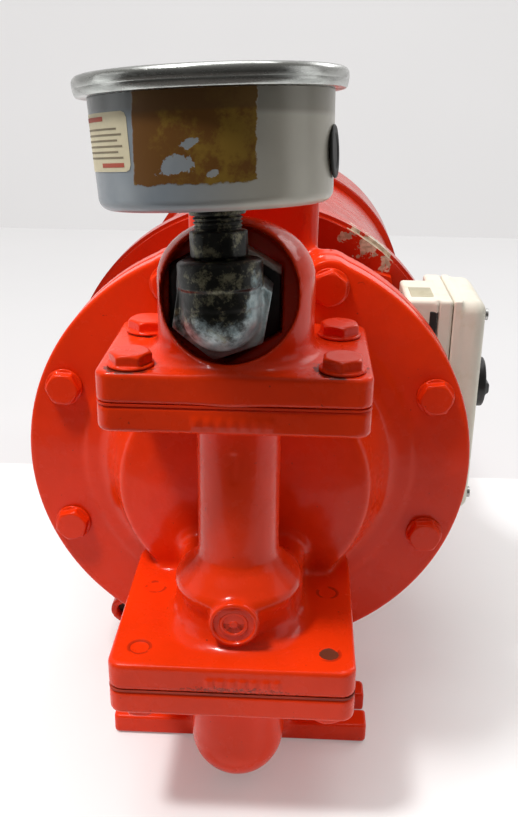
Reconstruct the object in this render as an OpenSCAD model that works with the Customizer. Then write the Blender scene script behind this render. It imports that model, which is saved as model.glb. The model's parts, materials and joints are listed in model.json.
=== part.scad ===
// Close-coupled centrifugal water pump with its motor, starter and pressure gauge.
// Origin: on the floor under the middle of the pump foot. +Y runs along the shaft
// from the pump end to the motor's fan, +Z is up, and all lengths are millimetres.

/* [Pump end] */
// Height of the shaft above the floor
shaft_z = 148; // [146:1:150]
// Radius of the round cover flange
flange_r = 125; // [124:0.5:126]
// Radius of the circle that the cover bolts stand on
bolt_circle_r = 111; // [110:0.5:112]
// Number of cover bolts
cover_bolt_count = 8; // [8:1:8]
// Distance from the origin to the front face of the cover flange
flange_y = 45; // [44:0.5:46]
// Thickness of the cover flange
cover_t = 13; // [12:0.5:14]
// Thickness of every gasket
gasket_t = 1; // [0.8:0.1:1.2]

/* [Inlet and sump] */
// Distance that the riser's axis stands in front of the origin
riser_y = 43; // [42:0.5:44]
// Outer radius of the riser
riser_r = 19.8; // [19:0.2:20]
// Radius of the inlet head's body
head_r = 36; // [35.5:0.5:36.5]
// Height of the middle of the threaded inlet port
port_z = 264; // [263:1:265]
// Radius of the inlet port's open mouth
mouth_r = 30.5; // [30:0.5:31]

/* [Gauge] */
// Outer radius of the gauge bezel
bezel_r = 55.6; // [55.2:0.2:56]
// Height of the middle of the gauge
gauge_z = 334.3; // [333.8:0.5:334.8]
// Angle that the gauge leans back
gauge_lean = 6.5; // [6:0.5:7]
// Angle that the gauge leans to the left
gauge_tip = 3.2; // [3:0.2:3.4]

/* [Motor] */
// Radius of the motor flange
motor_flange_r = 127; // [126:0.5:128]
// Outer radius of the motor's rolled shell
frame_r = 113; // [112:0.5:114]
// Distance between the foot holes across the motor
foot_span = 190; // [188:1:192]
// Distance between the foot holes along the motor
foot_pitch = 140; // [138:1:142]

/* [Starter] */
// Height of the starter box
starter_h = 135.3; // [134.3:1:136.3]
// Depth of the starter box along the shaft
starter_d = 64; // [62:1:64]

/* [Hidden] */
$fn = 96;
bolt_r = 5;                                   // M10 shank
bolt_af = 17;                                 // M10 spanner size
bolt_head_h = 5;
washer_r = 10.5;
washer_t = 1.6;

cover_back = flange_y + cover_t;
case_y = cover_back + gasket_t;
case_flange_t = 14;
drum_r = 100;
drum_bore_r = 88;
case_end = 141;
case_wall = 10;
plate_end = case_end + 8;                     // back of the seal plate
shield_end = plate_end + 14;                  // back of the motor flange

up_top = 239.3;                               // inlet flange pair
up_joint = 225.1;
up_low = 211.6;
up_w = 121;
up_front = -75;
up_back = 7;
up_bolt_x = 46.4;
up_bolt_y = [-63, -13];

low_top = 97.5;                               // sump flange pair
low_joint = 83;
low_base = 69;
low_w = 118.6;
low_front = -87.5;
low_back = 22;
low_bolt_x = 46;
low_bolt_y = [-72.5, -19];
plate_x = -0.6;                                // both flange pairs sit a little left of the shaft

foot_w = 144;
foot_t = 11.6;
bowl_r = 24.4;
bowl_z = 27;

port_x = -6.5;
mouth_tilt = 17;
hex_front = -41.5;                             // front face of the inlet bushing
elbow_y = -62;
column_w = 72;
column_y = 87;
column_d = 50;
column_top = 333;
outlet_r = 29.8;

frame_bore = frame_r - 8;
cowl_r = 118;
drain_x = -80.5;
drain_z = 26;
frame_end = 395;
front_brg = 175;
rear_brg = 386;
cowl_end = 470;
foot_y = 289;                                 // middle of the motor's foot holes
foot_bolt_y = [foot_y - 55, foot_y + 42];
core_y = 210;                                 // front of the laminations
core_t = 130;
gauge_h = 43.8;                               // case height below the bezel
bezel_t = 8.4;
plug_turn = -8.5;                              // blow-out plug on the side of the case
plug_z = 19.8;

box_x = 104;                                  // inner face of the starter box
box_y = 75;
box_z = 98.2;
knob_y = 107;
knob_z = 174;
rim_t = 11;
box_out = 134.5;

red = [0.86, 0.2, 0.07];
dark = [0.16, 0.16, 0.16];
steel = [0.62, 0.62, 0.62];
cream = [0.86, 0.83, 0.72];
grey = [0.5, 0.53, 0.56];

// ---- placing and repeating ----

// Local +Z points to the back of the pump, along the shaft
module on_shaft(y) translate([0, y, shaft_z]) rotate([-90, 0, 0]) children();

// Local +Z points to the front of the pump
module to_front(y) translate([0, y, shaft_z]) rotate([90, 0, 0]) children();

module around(count, radius, start = 0)
    for (i = [0 : count - 1])
        rotate(start + i * 360 / count)
            translate([radius, 0, 0])
                children();

module at_corners(x, ys, z)
    for (side = [-1, 1], y = ys)
        translate([side * x, y, z])
            children();

// Local +Z is the gauge's own axis, from the back of its case to its glass
module on_gauge()
    translate([-10, -54, gauge_z])
        rotate([-gauge_lean, -gauge_tip, 0])
            translate([0, 0, -(gauge_h + bezel_t) / 2])
                children();

module ring(outer, inner, h)
    difference() {
        cylinder(r = outer, h = h);
        translate([0, 0, -1]) cylinder(r = inner, h = h + 2);
    }

module hex(af, h) cylinder(r = af / sqrt(3), h = h, $fn = 6);

module rounded(w, d, r) {
    square([w - 2 * r, d], center = true);
    square([w, d - 2 * r], center = true);
    for (x = [-1, 1], y = [-1, 1])
        translate([x * (w / 2 - r), y * (d / 2 - r)])
            circle(r);
}

module plate(w, front, back, h, r = 7)
    translate([plate_x, (front + back) / 2, 0])
        linear_extrude(h)
            rounded(w, back - front, r);

// ---- sump, inlet and cover ----

module sump_casting()
    color(red)
        difference() {
            union() {
                translate([0, 0, low_base])
                    plate(low_w, low_front, low_back, low_joint - gasket_t - low_base);
                translate([0, -riser_y, bowl_z]) cylinder(r = bowl_r, h = low_base - bowl_z + 1);
                translate([0, -riser_y, bowl_z]) sphere(r = bowl_r);
                plate(foot_w, -21, 20, foot_t, 3);
                translate([-26, -24, foot_t - 1]) cube([52, 38, low_base - foot_t + 2]);
            }
            translate([0, -riser_y, bowl_z]) cylinder(r = bowl_r - 6, h = 80);
            translate([0, -riser_y, bowl_z]) sphere(r = bowl_r - 6);
            at_corners(low_bolt_x, low_bolt_y, low_base - 1) cylinder(r = bolt_r + 0.5, h = 30);
            for (side = [-1, 1]) {
                translate([side * 60, 0, -1]) cylinder(r = 6.5, h = foot_t + 2);
                translate([side * 68, 0, foot_t / 2]) cube([16, 13, foot_t + 2], center = true);
            }
        }

module sump_gasket()
    color(dark)
        translate([0, 0, low_joint - gasket_t])
            difference() {
                plate(low_w, low_front, low_back, gasket_t);
                translate([0, -riser_y, -1]) cylinder(r = bowl_r - 4, h = 3);
                at_corners(low_bolt_x, low_bolt_y, -1) cylinder(r = bolt_r + 0.5, h = 3);
            }

// Outline of a round flange that is cut back at the top between two bolts
module flange_outline() {
    lobe = [bolt_circle_r * cos(67.5), bolt_circle_r * sin(67.5)];
    difference() {
        circle(flange_r);
        translate([-lobe[0], 92]) square([2 * lobe[0], 60]);
    }
    for (side = [-1, 1])
        translate([side * lobe[0], lobe[1]])
            circle(14.5);
}

// Radius of the cover's domed boss at a distance in front of the flange
function boss_profile(inset) = [
    [0, 0], [86 - inset, 0], [80 - inset, 4], [76 - inset, 10], [72.5 - inset, 18],
    [70 - inset, 26], [67.5 - inset, 33 - inset / 2], [64 - inset, 35.5 - inset],
    [52 - inset, 37.6 - inset], [34 - inset / 2, 39.2 - inset], [0, 40 - inset]
];

module suction_cover()
    color(red)
        difference() {
            union() {
                to_front(cover_back) linear_extrude(cover_t) flange_outline();
                to_front(flange_y) rotate_extrude() polygon(boss_profile(0));
                translate([0, -riser_y, 0])
                    rotate_extrude()
                        polygon([
                            [0, low_top - 1], [36, low_top - 1], [33.5, 99.5], [30, 102.5],
                            [28.4, 107], [28.2, 111], [29.2, 115], [31, 118.5], [31.6, 121.5],
                            [30.4, 124.5], [26, 129.5], [22, 134], [riser_r, 138],
                            [riser_r, 204], [22, 208.5], [27, up_low + 1], [0, up_low + 1]
                        ]);
                translate([0, -riser_y, 103])
                    rotate([-90, 0, 0])
                        linear_extrude(flange_y + riser_y + 1)
                            rounded(65, 38, 9);
                translate([0, -60, 114]) rotate([90, 0, 0]) cylinder(r = 12, h = 16);
                translate([0, 0, up_low]) plate(up_w, up_front, up_back, up_joint - gasket_t - up_low);
                translate([0, 0, low_joint]) plate(low_w, low_front, low_back, low_top - low_joint);
            }
            translate([-60, low_front - 1, 0]) cube([120, low_back - low_front + 1.5, low_joint]);
            to_front(flange_y + 5) rotate_extrude() polygon(boss_profile(8));
            on_shaft(flange_y) cylinder(r = 34, h = 20);
            translate([0, -75, 114]) rotate([90, 0, 0]) cylinder(r = 9.6, h = 3);
            translate([0, -riser_y, 50]) cylinder(r = 19, h = 74);
            translate([0, -riser_y, 110]) cylinder(r = 14, h = 110);
            translate([0, -riser_y, 104]) rotate([-90, 0, 0]) cylinder(r = 17, h = 65);
            translate([-13, -riser_y, up_low + 4]) cube([26, 31, 30]);
            to_front(cover_back + 1)
                around(cover_bolt_count, bolt_circle_r, 22.5)
                    cylinder(r = bolt_r + 0.5, h = cover_t + 2);
            at_corners(up_bolt_x, up_bolt_y, up_low - 1) cylinder(r = bolt_r, h = 20);
            at_corners(low_bolt_x, low_bolt_y, low_joint - 1) cylinder(r = bolt_r, h = 20);
        }

module inlet_gasket()
    color(dark)
        translate([0, 0, up_joint - gasket_t])
            difference() {
                plate(up_w, up_front, up_back, gasket_t);
                translate([0, -riser_y, -1]) cylinder(r = 14, h = 3);
                translate([-13, -riser_y, -1]) cube([26, 31, 3]);
                at_corners(up_bolt_x, up_bolt_y, -1) cylinder(r = bolt_r + 0.5, h = 3);
            }

// Half profile of the head's body, with a flared foot and a domed top
function dome_profile(top_z, dome_h) = concat(
    [[0, up_top - 1], [head_r + 2.4, up_top - 1], [head_r + 2.2, up_top + 1],
     [head_r + 1.2, up_top + 4], [head_r + 0.3, up_top + 8], [head_r, up_top + 11]],
    [for (a = [0 : 7.5 : 90]) [head_r * cos(a), top_z + dome_h * sin(a)]]
);

module inlet_head()
    color(red)
        difference() {
            union() {
                translate([0, 0, up_joint]) plate(up_w, up_front, up_back, up_top - up_joint);
                translate([-2, -34, 0]) rotate_extrude() polygon(dome_profile(272, 27));
            }
            translate([-4, -64, 272.8])
                rotate([90 - mouth_tilt, 0, 0])
                    translate([0, 0, -27])
                        cylinder(r1 = mouth_r + 1.5, r2 = mouth_r, h = 27);
            translate([-4, -64, 272.8])
                rotate([90 - mouth_tilt, 0, 0])
                    cylinder(r = mouth_r, h = 40);
            translate([port_x, hex_front - 10, port_z])
                rotate([-90, 0, 0])
                    rotate(30)
                        hex(51.6, 18.3);
            translate([port_x, hex_front + 7, port_z]) rotate([-90, 0, 0]) cylinder(r = 19, h = 28);
            translate([0, -12, up_joint - 1]) cylinder(r = 9, h = port_z - up_joint + 1);
            at_corners(up_bolt_x, up_bolt_y, up_joint - 1) cylinder(r = bolt_r + 0.5, h = 20);
        }

module head_bolt(length)
    union() {
        translate([0, 0, washer_t]) hex(bolt_af, bolt_head_h);
        cylinder(r = washer_r, h = washer_t);
        translate([0, 0, -length]) cylinder(r = bolt_r, h = length + 1);
    }

module inlet_bolts()
    color(red)
        at_corners(up_bolt_x, up_bolt_y, up_top)
            head_bolt(up_top - up_low);

module sump_bolts()
    color(red)
        at_corners(low_bolt_x, low_bolt_y, low_base)
            rotate([180, 0, 0])
                head_bolt(low_top - low_base);

module cover_gasket()
    color(dark)
        to_front(case_y)
            difference() {
                linear_extrude(gasket_t) flange_outline();
                translate([0, 0, -1]) cylinder(r = drum_bore_r, h = 3);
                translate([0, 0, -1])
                    around(cover_bolt_count, bolt_circle_r, 22.5)
                        cylinder(r = bolt_r + 0.5, h = 3);
            }

module cover_bolts()
    color(red)
        to_front(flange_y)
            around(cover_bolt_count, bolt_circle_r, 22.5) {
                translate([0, 0, washer_t]) hex(bolt_af, bolt_head_h);
                translate([0, 0, -26]) cylinder(r = bolt_r, h = 28);
            }

module cover_washers()
    color(red)
        to_front(flange_y)
            around(cover_bolt_count, bolt_circle_r, 22.5)
                ring(washer_r, bolt_r, washer_t);

// ---- wet end ----

module volute_casing()
    color(red)
        difference() {
            union() {
                to_front(case_y + case_flange_t) linear_extrude(case_flange_t) flange_outline();
                on_shaft(case_y + 5) cylinder(r = drum_r, h = case_end - case_y - 5);
                translate([-column_w / 2, column_y - column_d / 2, 230])
                    cube([column_w, column_d, column_top - 250]);
                translate([0, column_y, column_top - 40]) cylinder(r = 38, h = 40);
                translate([80, 92, shaft_z - 22]) cube([21, 30, 44]);
                translate([drain_x, case_y + 13, drain_z]) rotate([-90, 0, 0]) cylinder(r = 9, h = 24);
                translate([0, case_y + 18, shaft_z])
                    rotate([0, 35, 0])
                        translate([-6, 0, -146])
                            cube([12, 14, 60]);
            }
            on_shaft(case_y - 1) cylinder(r = drum_bore_r, h = case_end - case_wall - case_y + 1);
            on_shaft(case_end - case_wall - 1) cylinder(r = 62, h = case_wall + 2);
            translate([0, column_y, 225]) cylinder(r = 22, h = 120);
            translate([0, column_y, column_top - 25]) cylinder(r = outlet_r, h = 30);
            translate([drain_x, case_y + 12, drain_z]) rotate([-90, 0, 0]) cylinder(r = 5, h = 18);
            to_front(case_y + 13)
                around(cover_bolt_count, bolt_circle_r, 22.5)
                    cylinder(r = bolt_r, h = 20);
            on_shaft(case_end - 9) around(6, 78, 0) cylinder(r = 4, h = 12);
            on_shaft(case_end - 8.5) around(4, 107.5, 45) cylinder(r = 12, h = 12);
            at_fixing_screws(91) cylinder(r = 2.5, h = 20);
        }

module wear_ring()
    color("peru")
        on_shaft(cover_back - 8) ring(34, 29.3, 8);

module seal_plate()
    color(red)
        on_shaft(case_end - case_wall)
            difference() {
                union() {
                    cylinder(r = 62, h = 12);
                    translate([0, 0, case_wall]) cylinder(r = flange_r, h = 8);
                }
                translate([0, 0, -1]) cylinder(r = 17, h = 30);
                translate([0, 0, -1]) cylinder(r = 24, h = 17);
                around(6, 78, 0) cylinder(r = 4.5, h = 30);
                translate([0, 0, case_wall + 1]) around(6, 78, 0) cylinder(r = 7.5, h = 30);
                around(4, 107.5, 45) cylinder(r = 6.5, h = 30);
            }

module casing_screws()
    color(dark)
        on_shaft(case_end + 1)
            around(6, 78, 0) {
                cylinder(r = 6.5, h = 6.5);
                translate([0, 0, -9]) cylinder(r = 4, h = 10);
            }

module seal_seat()
    color("silver")
        on_shaft(case_end - 3) ring(24, 16, 9);

module seal_head()
    color(dark)
        on_shaft(case_end - 25) {
            ring(21, 15, 16);
            translate([0, 0, 16]) ring(20, 15, 5.8);
        }

// One vane: a thin arc from the eye to the rim
module vane()
    intersection() {
        translate([39, 16]) difference() {
            circle(42);
            circle(38);
        }
        difference() {
            circle(77);
            circle(20);
        }
        translate([0, -80]) square([90, 90]);
    }

module impeller()
    color("peru")
        on_shaft(72)
            difference() {
                union() {
                    cylinder(r = 18, h = 40);
                    translate([0, 0, 34]) cylinder(r = 78, h = 5);
                    translate([0, 0, 8]) ring(78, 29, 4);
                    translate([0, 0, -21]) ring(29, 26, 30);
                    for (i = [0 : 5])
                        rotate(i * 60)
                            translate([0, 0, 11])
                                linear_extrude(24)
                                    vane();
                }
                translate([0, 0, -1]) cylinder(r = 10, h = 50);
                translate([-3, 8, 6]) cube([6, 5.5, 40]);
            }

module impeller_nut()
    color("peru")
        on_shaft(60)
            difference() {
                union() {
                    hex(24, 12);
                    translate([0, 0, -5]) cylinder(r1 = 5, r2 = 10, h = 5.01);
                }
                translate([0, 0, 0]) cylinder(r = 7, h = 20);
            }

module impeller_key()
    color(steel)
        on_shaft(80) translate([-3, 8, 0]) cube([6, 5.5, 26]);

module motor_shaft()
    color(steel)
        on_shaft(60)
            difference() {
                union() {
                    cylinder(r = 7, h = 13);
                    translate([0, 0, 12]) cylinder(r = 10, h = 42);
                    translate([0, 0, 52]) cylinder(r = 15, h = rear_brg - 60 - 52);
                    translate([0, 0, rear_brg - 61]) cylinder(r = 12.5, h = 54);
                }
                translate([-3, 8, 20]) cube([6, 5.5, 26]);
            }

// ---- motor ----

module adaptor_bolts()
    color(red)
        on_shaft(case_end)
            around(4, 107.5, 45) {
                translate([0, 0, -7.5]) hex(19, 7.5);
                cylinder(r = 6, h = 20);
            }

module motor_flange()
    color(red)
        on_shaft(plate_end)
            difference() {
                union() {
                    cylinder(r = motor_flange_r, h = 14);
                    translate([0, 0, 13]) ring(frame_bore, frame_bore - 8, 8);
                    translate([0, 0, 13]) cylinder(r = 40, h = 31);
                }
                translate([0, 0, -1]) cylinder(r = 25, h = 60);
                translate([0, 0, front_brg - plate_end]) cylinder(r = 31, h = 60);
                around(4, 107.5, 45) translate([0, 0, -1]) cylinder(r = 6, h = 13);
            }

module bearing_outer(r, t) ring(r, r - 4, t);

module bearing_inner(r, t) ring(r + 4, r, t);

module bearing_balls(r, ball, t)
    translate([0, 0, t / 2])
        around(9, r)
            sphere(r = ball, $fn = 32);

module front_bearing_outer() color(steel) on_shaft(front_brg) bearing_outer(31, 16);
module front_bearing_inner() color(steel) on_shaft(front_brg) bearing_inner(15, 16);
module front_bearing_balls() color(steel) on_shaft(front_brg) bearing_balls(23, 3.7, 16);
module rear_bearing_outer() color(steel) on_shaft(rear_brg) bearing_outer(26, 15);
module rear_bearing_inner() color(steel) on_shaft(rear_brg) bearing_inner(12.5, 15);
module rear_bearing_balls() color(steel) on_shaft(rear_brg) bearing_balls(19.25, 2.5, 15);

module motor_frame()
    color(red)
        difference() {
            union() {
                on_shaft(shield_end) cylinder(r = frame_r, h = frame_end - shield_end);
                for (side = [-1, 1])
                    translate([side * 70 - 15, foot_y - 72, 44]) cube([30, 132, 60]);
                translate([-16, 240, shaft_z + frame_r - 4]) cube([32, 30, 12]);
            }
            on_shaft(shield_end - 1) cylinder(r = frame_bore, h = frame_end);
            for (side = [-1, 1], y = foot_bolt_y)
                translate([side * 70, y, 40]) cylinder(r = bolt_r, h = 22);
            on_shaft(frame_end - 14) around(4, frame_r - 4, 45) cylinder(r = 2.4, h = 20);
        }

module stator_core()
    color(dark)
        on_shaft(core_y) ring(frame_bore, 52, core_t);

module stator_windings()
    color([0.6, 0.3, 0.12])
        for (y = [core_y - 14, core_y + core_t])
            on_shaft(y) ring(84, 58, 14);

module rotor_core()
    color(steel)
        on_shaft(core_y) ring(51.4, 15, core_t);

module rear_shield()
    color(red)
        on_shaft(frame_end - 10)
            difference() {
                union() {
                    translate([0, 0, 10]) cylinder(r = frame_r, h = 8);
                    translate([0, 0, 14]) cylinder(r = cowl_r - 0.5, h = 4);
                    ring(frame_bore, frame_bore - 6, 11);
                    translate([0, 0, -1]) cylinder(r = 34, h = 12);
                }
                translate([0, 0, -2]) cylinder(r = 26, h = 18);
                translate([0, 0, -2]) cylinder(r = 14, h = 40);
                translate([0, 0, 9]) around(4, frame_r - 4, 45) cylinder(r = 2.6, h = 20);
                translate([0, 0, 12]) around(3, 100, 90) cylinder(r = 1.5, h = 20);
            }

module shield_screws()
    color(steel)
        on_shaft(frame_end + 8)
            around(4, frame_r - 4, 45) {
                hex(7, 3.5);
                translate([0, 0, -20]) cylinder(r = 2.4, h = 21);
            }

module cooling_fan()
    color(dark)
        on_shaft(frame_end + 18)
            difference() {
                union() {
                    cylinder(r = 20, h = 24);
                    cylinder(r = 60, h = 3);
                    for (i = [0 : 6])
                        rotate(i * 360 / 7)
                            translate([15, -1.3, 1])
                                cube([77, 2.6, 21]);
                }
                translate([0, 0, -1]) cylinder(r = 12.5, h = 30);
            }

module fan_cowl()
    color(red)
        on_shaft(frame_end + 8)
            difference() {
                cylinder(r = cowl_r, h = cowl_end - frame_end - 8);
                translate([0, 0, -1]) cylinder(r = cowl_r - 2.5, h = cowl_end - frame_end - 9.5);
                for (r = [24 : 12 : 84], q = [0 : 3])
                    intersection() {
                        ring(r + 7, r, 100);
                        rotate(q * 90 + 45) translate([4, 4, 0]) cube([120, 120, 120]);
                    }
                around(3, 100, 90) translate([0, 0, -1]) cylinder(r = 1.6, h = 100);
            }

module cowl_screws()
    color(steel)
        on_shaft(frame_end + 7)
            around(3, 100, 90) {
                translate([0, 0, -3]) cylinder(r = 1.5, h = cowl_end - frame_end - 3);
                translate([0, 0, cowl_end - frame_end - 7]) cylinder(r = 3.6, h = 2);
            }

module motor_feet()
    color(red)
        for (side = [-1, 1])
            difference() {
                union() {
                    translate([side * 88 - 33, foot_y - 82, 0]) cube([66, 164, 14]);
                    translate([side * 70 - 15, foot_y - 72, 13]) cube([30, 132, 31]);
                }
                for (y = [-1, 1])
                    translate([side * foot_span / 2, foot_y + y * foot_pitch / 2, -1])
                        cylinder(r = 6, h = 20);
                for (y = foot_bolt_y) {
                    translate([side * 70, y, -1]) cylinder(r = bolt_r + 0.5, h = 60);
                    translate([side * 70, y, -1]) cylinder(r = 10, h = 11);
                }
            }

module foot_bolts()
    color(steel)
        for (side = [-1, 1], y = foot_bolt_y)
            translate([side * 70, y, 3]) {
                hex(bolt_af, 7);
                cylinder(r = bolt_r, h = 55);
            }

// ---- starter ----

module starter_bracket()
    color(steel)
        difference() {
            translate([101, box_y + 8, shaft_z - 40]) cube([3, 48, 80]);
            at_fixing_screws(90) cylinder(r = 2.5, h = 20);
        }

// Where the box's two cover screws and its two fixing screws stand
module at_cover_screws(x)
    for (z = [box_z + 10, box_z + starter_h - 10])
        translate([x, box_y + 10, z]) rotate([0, 90, 0]) children();

module at_fixing_screws(x)
    for (z = [-14, 14])
        translate([x, 107, shaft_z + z]) rotate([0, 90, 0]) children();

module starter_base()
    color(cream) {
        at_cover_screws(box_x + 2.5) ring(4, 1.8, rim_t - 2.5);
        difference() {
            union() {
                translate([box_x, box_y, box_z]) cube([rim_t, starter_d, starter_h]);
                translate([88, box_y, shaft_z + 62]) cube([17, 48, box_z + starter_h - shaft_z - 62]);
            }
            translate([box_x + 3, box_y + 4, box_z + 4])
                cube([20, starter_d - 8, starter_h - 8]);
            translate([91, box_y + 16, shaft_z + 65])
                cube([20, 28, box_z + starter_h - shaft_z - 68]);
            translate([80, box_y + 30, shaft_z + 73]) rotate([0, 90, 0]) cylinder(r = 6, h = 14);
            at_fixing_screws(90) cylinder(r = 2.5, h = 20);
        }
    }

module starter_cover()
    color(cream)
        difference() {
            translate([box_x + rim_t, box_y, box_z])
                cube([box_out - box_x - rim_t, starter_d, starter_h]);
            translate([box_x + rim_t - 1, box_y + 4, box_z + 4])
                cube([box_out - box_x - rim_t - 3, starter_d - 8, starter_h - 8]);
            translate([100, knob_y, knob_z]) rotate([0, 90, 0]) cylinder(r = 5, h = 60);
            at_cover_screws(100) cylinder(r = 1.9, h = 60);
        }

module starter_screws()
    color(steel) {
        at_cover_screws(box_x + 3) {
            cylinder(r = 1.8, h = box_out - box_x - 3);
            translate([0, 0, box_out - box_x - 3]) cylinder(r = 3.4, h = 1.6);
        }
        at_fixing_screws(91) {
            cylinder(r = 2.5, h = box_x + 3 - 91);
            translate([0, 0, box_x + 3 - 91]) cylinder(r = 4.6, h = 3);
        }
    }

module switch_block()
    color(dark)
        difference() {
            translate([box_x + 3, knob_y - 18, knob_z - 6]) cube([19, 36, 36]);
            translate([box_x, knob_y, knob_z]) rotate([0, 90, 0]) cylinder(r = 3.55, h = 60);
        }

module switch_knob()
    color(dark)
        translate([box_out, knob_y, knob_z])
            rotate([0, 90, 0]) {
                translate([0, 0, 0.4]) cylinder(r = 15.5, h = 6.6);
                translate([-14, -3.5, 6.5]) cube([28, 7, 4.3]);
                translate([0, 0, -18]) cylinder(r = 3.5, h = 19);
            }

module cable_gland()
    color(dark)
        translate([88, box_y + 30, shaft_z + 73])
            rotate([0, -90, 0])
                difference() {
                    union() {
                        hex(16, 5);
                        translate([0, 0, -4]) cylinder(r = 6, h = 5);
                        translate([0, 0, 4]) cylinder(r = 7, h = 8);
                    }
                    translate([0, 0, -5]) cylinder(r = 3.5, h = 30);
                }

module drain_plug()
    color([0.3, 0.17, 0.11])
        translate([drain_x, case_y + 13, drain_z])
            rotate([90, 0, 0]) {
                cylinder(r = 8, h = 5);
                translate([0, 0, -15]) cylinder(r = 5, h = 16);
            }

// ---- gauge and its fittings ----

module port_bushing()
    color(dark)
        translate([port_x, hex_front, port_z])
            rotate([-90, 0, 0])
                difference() {
                    union() {
                        rotate(30) hex(50, 8);
                        translate([0, 0, 7]) cylinder(r = 19, h = 21);
                    }
                    translate([0, 0, -1]) cylinder(r = 12, h = 40);
                }

// The leg to the gauge, along the gauge's axis; height is measured from the case
module gauge_leg(from, to, r1, r2)
    on_gauge() translate([0, 0, -to]) cylinder(r1 = r2, r2 = r1, h = to - from);

module gauge_elbow()
    color(grey)
        difference() {
            union() {
                translate([port_x, elbow_y, port_z]) sphere(r = 17.2);
                translate([port_x, elbow_y, port_z]) rotate([-90, 0, 0]) cylinder(r = 17.2, h = 4);
                translate([port_x, elbow_y + 1, port_z])
                    rotate([-90, 0, 0])
                        rotate(30 + 9)
                            hex(40.2, hex_front - elbow_y - 1);
                translate([port_x, hex_front - 1, port_z])
                    rotate([-90, 0, 0])
                        cylinder(r = 12, h = 20);
                gauge_leg(22.2, 42.2, 17.2, 17.2);
                gauge_leg(22.7, 34.2, 18.4, 18.4);
            }
            gauge_leg(21, 34.2, 8, 8);
            on_gauge() translate([0, 0, -43.2]) cylinder(r = 6, h = 20);
            translate([port_x, elbow_y, port_z]) rotate([-90, 0, 0]) cylinder(r = 6, h = 60);
        }

module gauge_stem()
    color(grey)
        difference() {
            union() {
                gauge_leg(-6, 1, 10.2, 10.2);
                gauge_leg(0.3, 3.9, 12, 12);
                gauge_leg(3.6, 10.2, 10, 10);
                gauge_leg(6.4, 7.4, 10.9, 10.9);
                gauge_leg(9.9, 21.4, 12.3, 12.3);
                gauge_leg(20.2, 32.2, 7.9, 7.9);
            }
            gauge_leg(-3, 44, 3, 3);
        }

module gauge_case()
    color(grey)
        on_gauge()
            difference() {
                rotate_extrude()
                    polygon([
                        [10.3, 0], [43.5, 0], [46, 0.8], [47.8, 2.6], [48.5, 5], [50, gauge_h],
                        [47.5, gauge_h], [46.2, 5], [43.5, 2.6], [10.3, 2.6]
                    ]);
                rotate(plug_turn) translate([40, 0, plug_z]) rotate([0, 90, 0]) cylinder(r = 7, h = 20);
            }

module gauge_bezel()
    color("silver")
        on_gauge()
            translate([0, 0, gauge_h])
                rotate_extrude()
                    polygon([
                        [46, 0], [54.4, 0], [bezel_r - 0.3, 0.5], [bezel_r, 1.3], [54.9, 1.9],
                        [bezel_r - 0.2, 2.6], [bezel_r, 5.4], [55, 7.2], [53.4, 8.1],
                        [50.5, bezel_t], [48, 7.8], [47, 6.6], [51.5, 6.6], [51.5, 2.6], [46, 2.6]
                    ]);

module gauge_glass()
    color([0.8, 0.9, 0.95, 0.35])
        on_gauge() translate([0, 0, gauge_h + 3.4]) cylinder(r = 51, h = 2.6);

module gauge_dial()
    color("white")
        on_gauge()
            translate([0, 0, gauge_h - 5])
                ring(46.8, 4, 1.2);

module gauge_pointer()
    color(dark)
        on_gauge()
            translate([0, 0, gauge_h - 2.4])
                difference() {
                    union() {
                        cylinder(r = 4.4, h = 2);
                        rotate(225)
                            linear_extrude(1)
                                polygon([[-14, -2.2], [-14, 2.2], [38, 0.5], [38, -0.5]]);
                        translate([0, 0, -12]) cylinder(r = 1.45, h = 13);
                    }
                    translate([0, 0, 1.4]) cylinder(r = 1, h = 3);
                }

module gauge_movement()
    color("peru")
        on_gauge()
            difference() {
                union() {
                    translate([-9, -7, 24]) cube([18, 14, 3]);
                    translate([-9, -7, 36]) cube([18, 14, 2]);
                    for (x = [-7, 7])
                        translate([x, 4, 26]) cylinder(r = 1.5, h = 11);
                    translate([0, 0, 6]) cylinder(r = 8, h = 19);
                }
                translate([0, 0, 25.5]) cylinder(r = 1.5, h = 20);
                translate([0, 0, 5]) cylinder(r = 3, h = 10);
            }

module gauge_bourdon_tube()
    color("goldenrod")
        on_gauge()
            translate([0, 0, 18])
                rotate(60)
                    union() {
                        rotate_extrude(angle = 250)
                            translate([30, 0]) rounded(4, 11, 1.5);
                        translate([8, -3, -3]) cube([22, 6, 6]);
                    }

module blowout_plug()
    color(dark)
        on_gauge()
            rotate(plug_turn)
                translate([44, 0, plug_z])
                    rotate([0, 90, 0]) {
                        cylinder(r = 7, h = 5);
                        translate([0, 0, 5.8]) cylinder(r = 11, h = 1.2);
                        cylinder(r = 5, h = 7);
                    }

sump_casting();
sump_gasket();
suction_cover();
inlet_gasket();
inlet_head();
inlet_bolts();
sump_bolts();
cover_gasket();
cover_bolts();
cover_washers();
volute_casing();
wear_ring();
seal_plate();
casing_screws();
seal_seat();
seal_head();
impeller();
impeller_nut();
impeller_key();
motor_shaft();
adaptor_bolts();
motor_flange();
front_bearing_outer();
front_bearing_balls();
front_bearing_inner();
rear_bearing_outer();
rear_bearing_balls();
rear_bearing_inner();
motor_frame();
stator_core();
stator_windings();
rotor_core();
rear_shield();
shield_screws();
cooling_fan();
fan_cowl();
cowl_screws();
motor_feet();
foot_bolts();
starter_bracket();
starter_base();
starter_cover();
starter_screws();
switch_block();
switch_knob();
cable_gland();
drain_plug();
port_bushing();
gauge_elbow();
gauge_stem();
gauge_case();
gauge_bezel();
gauge_glass();
gauge_dial();
gauge_pointer();
gauge_movement();
gauge_bourdon_tube();
blowout_plug();
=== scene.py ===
"""Looks of the centrifugal water pump: cast, painted and turned pieces built on its CAD frame."""

import json
from math import cos, degrees, pi, radians, sin

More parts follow.
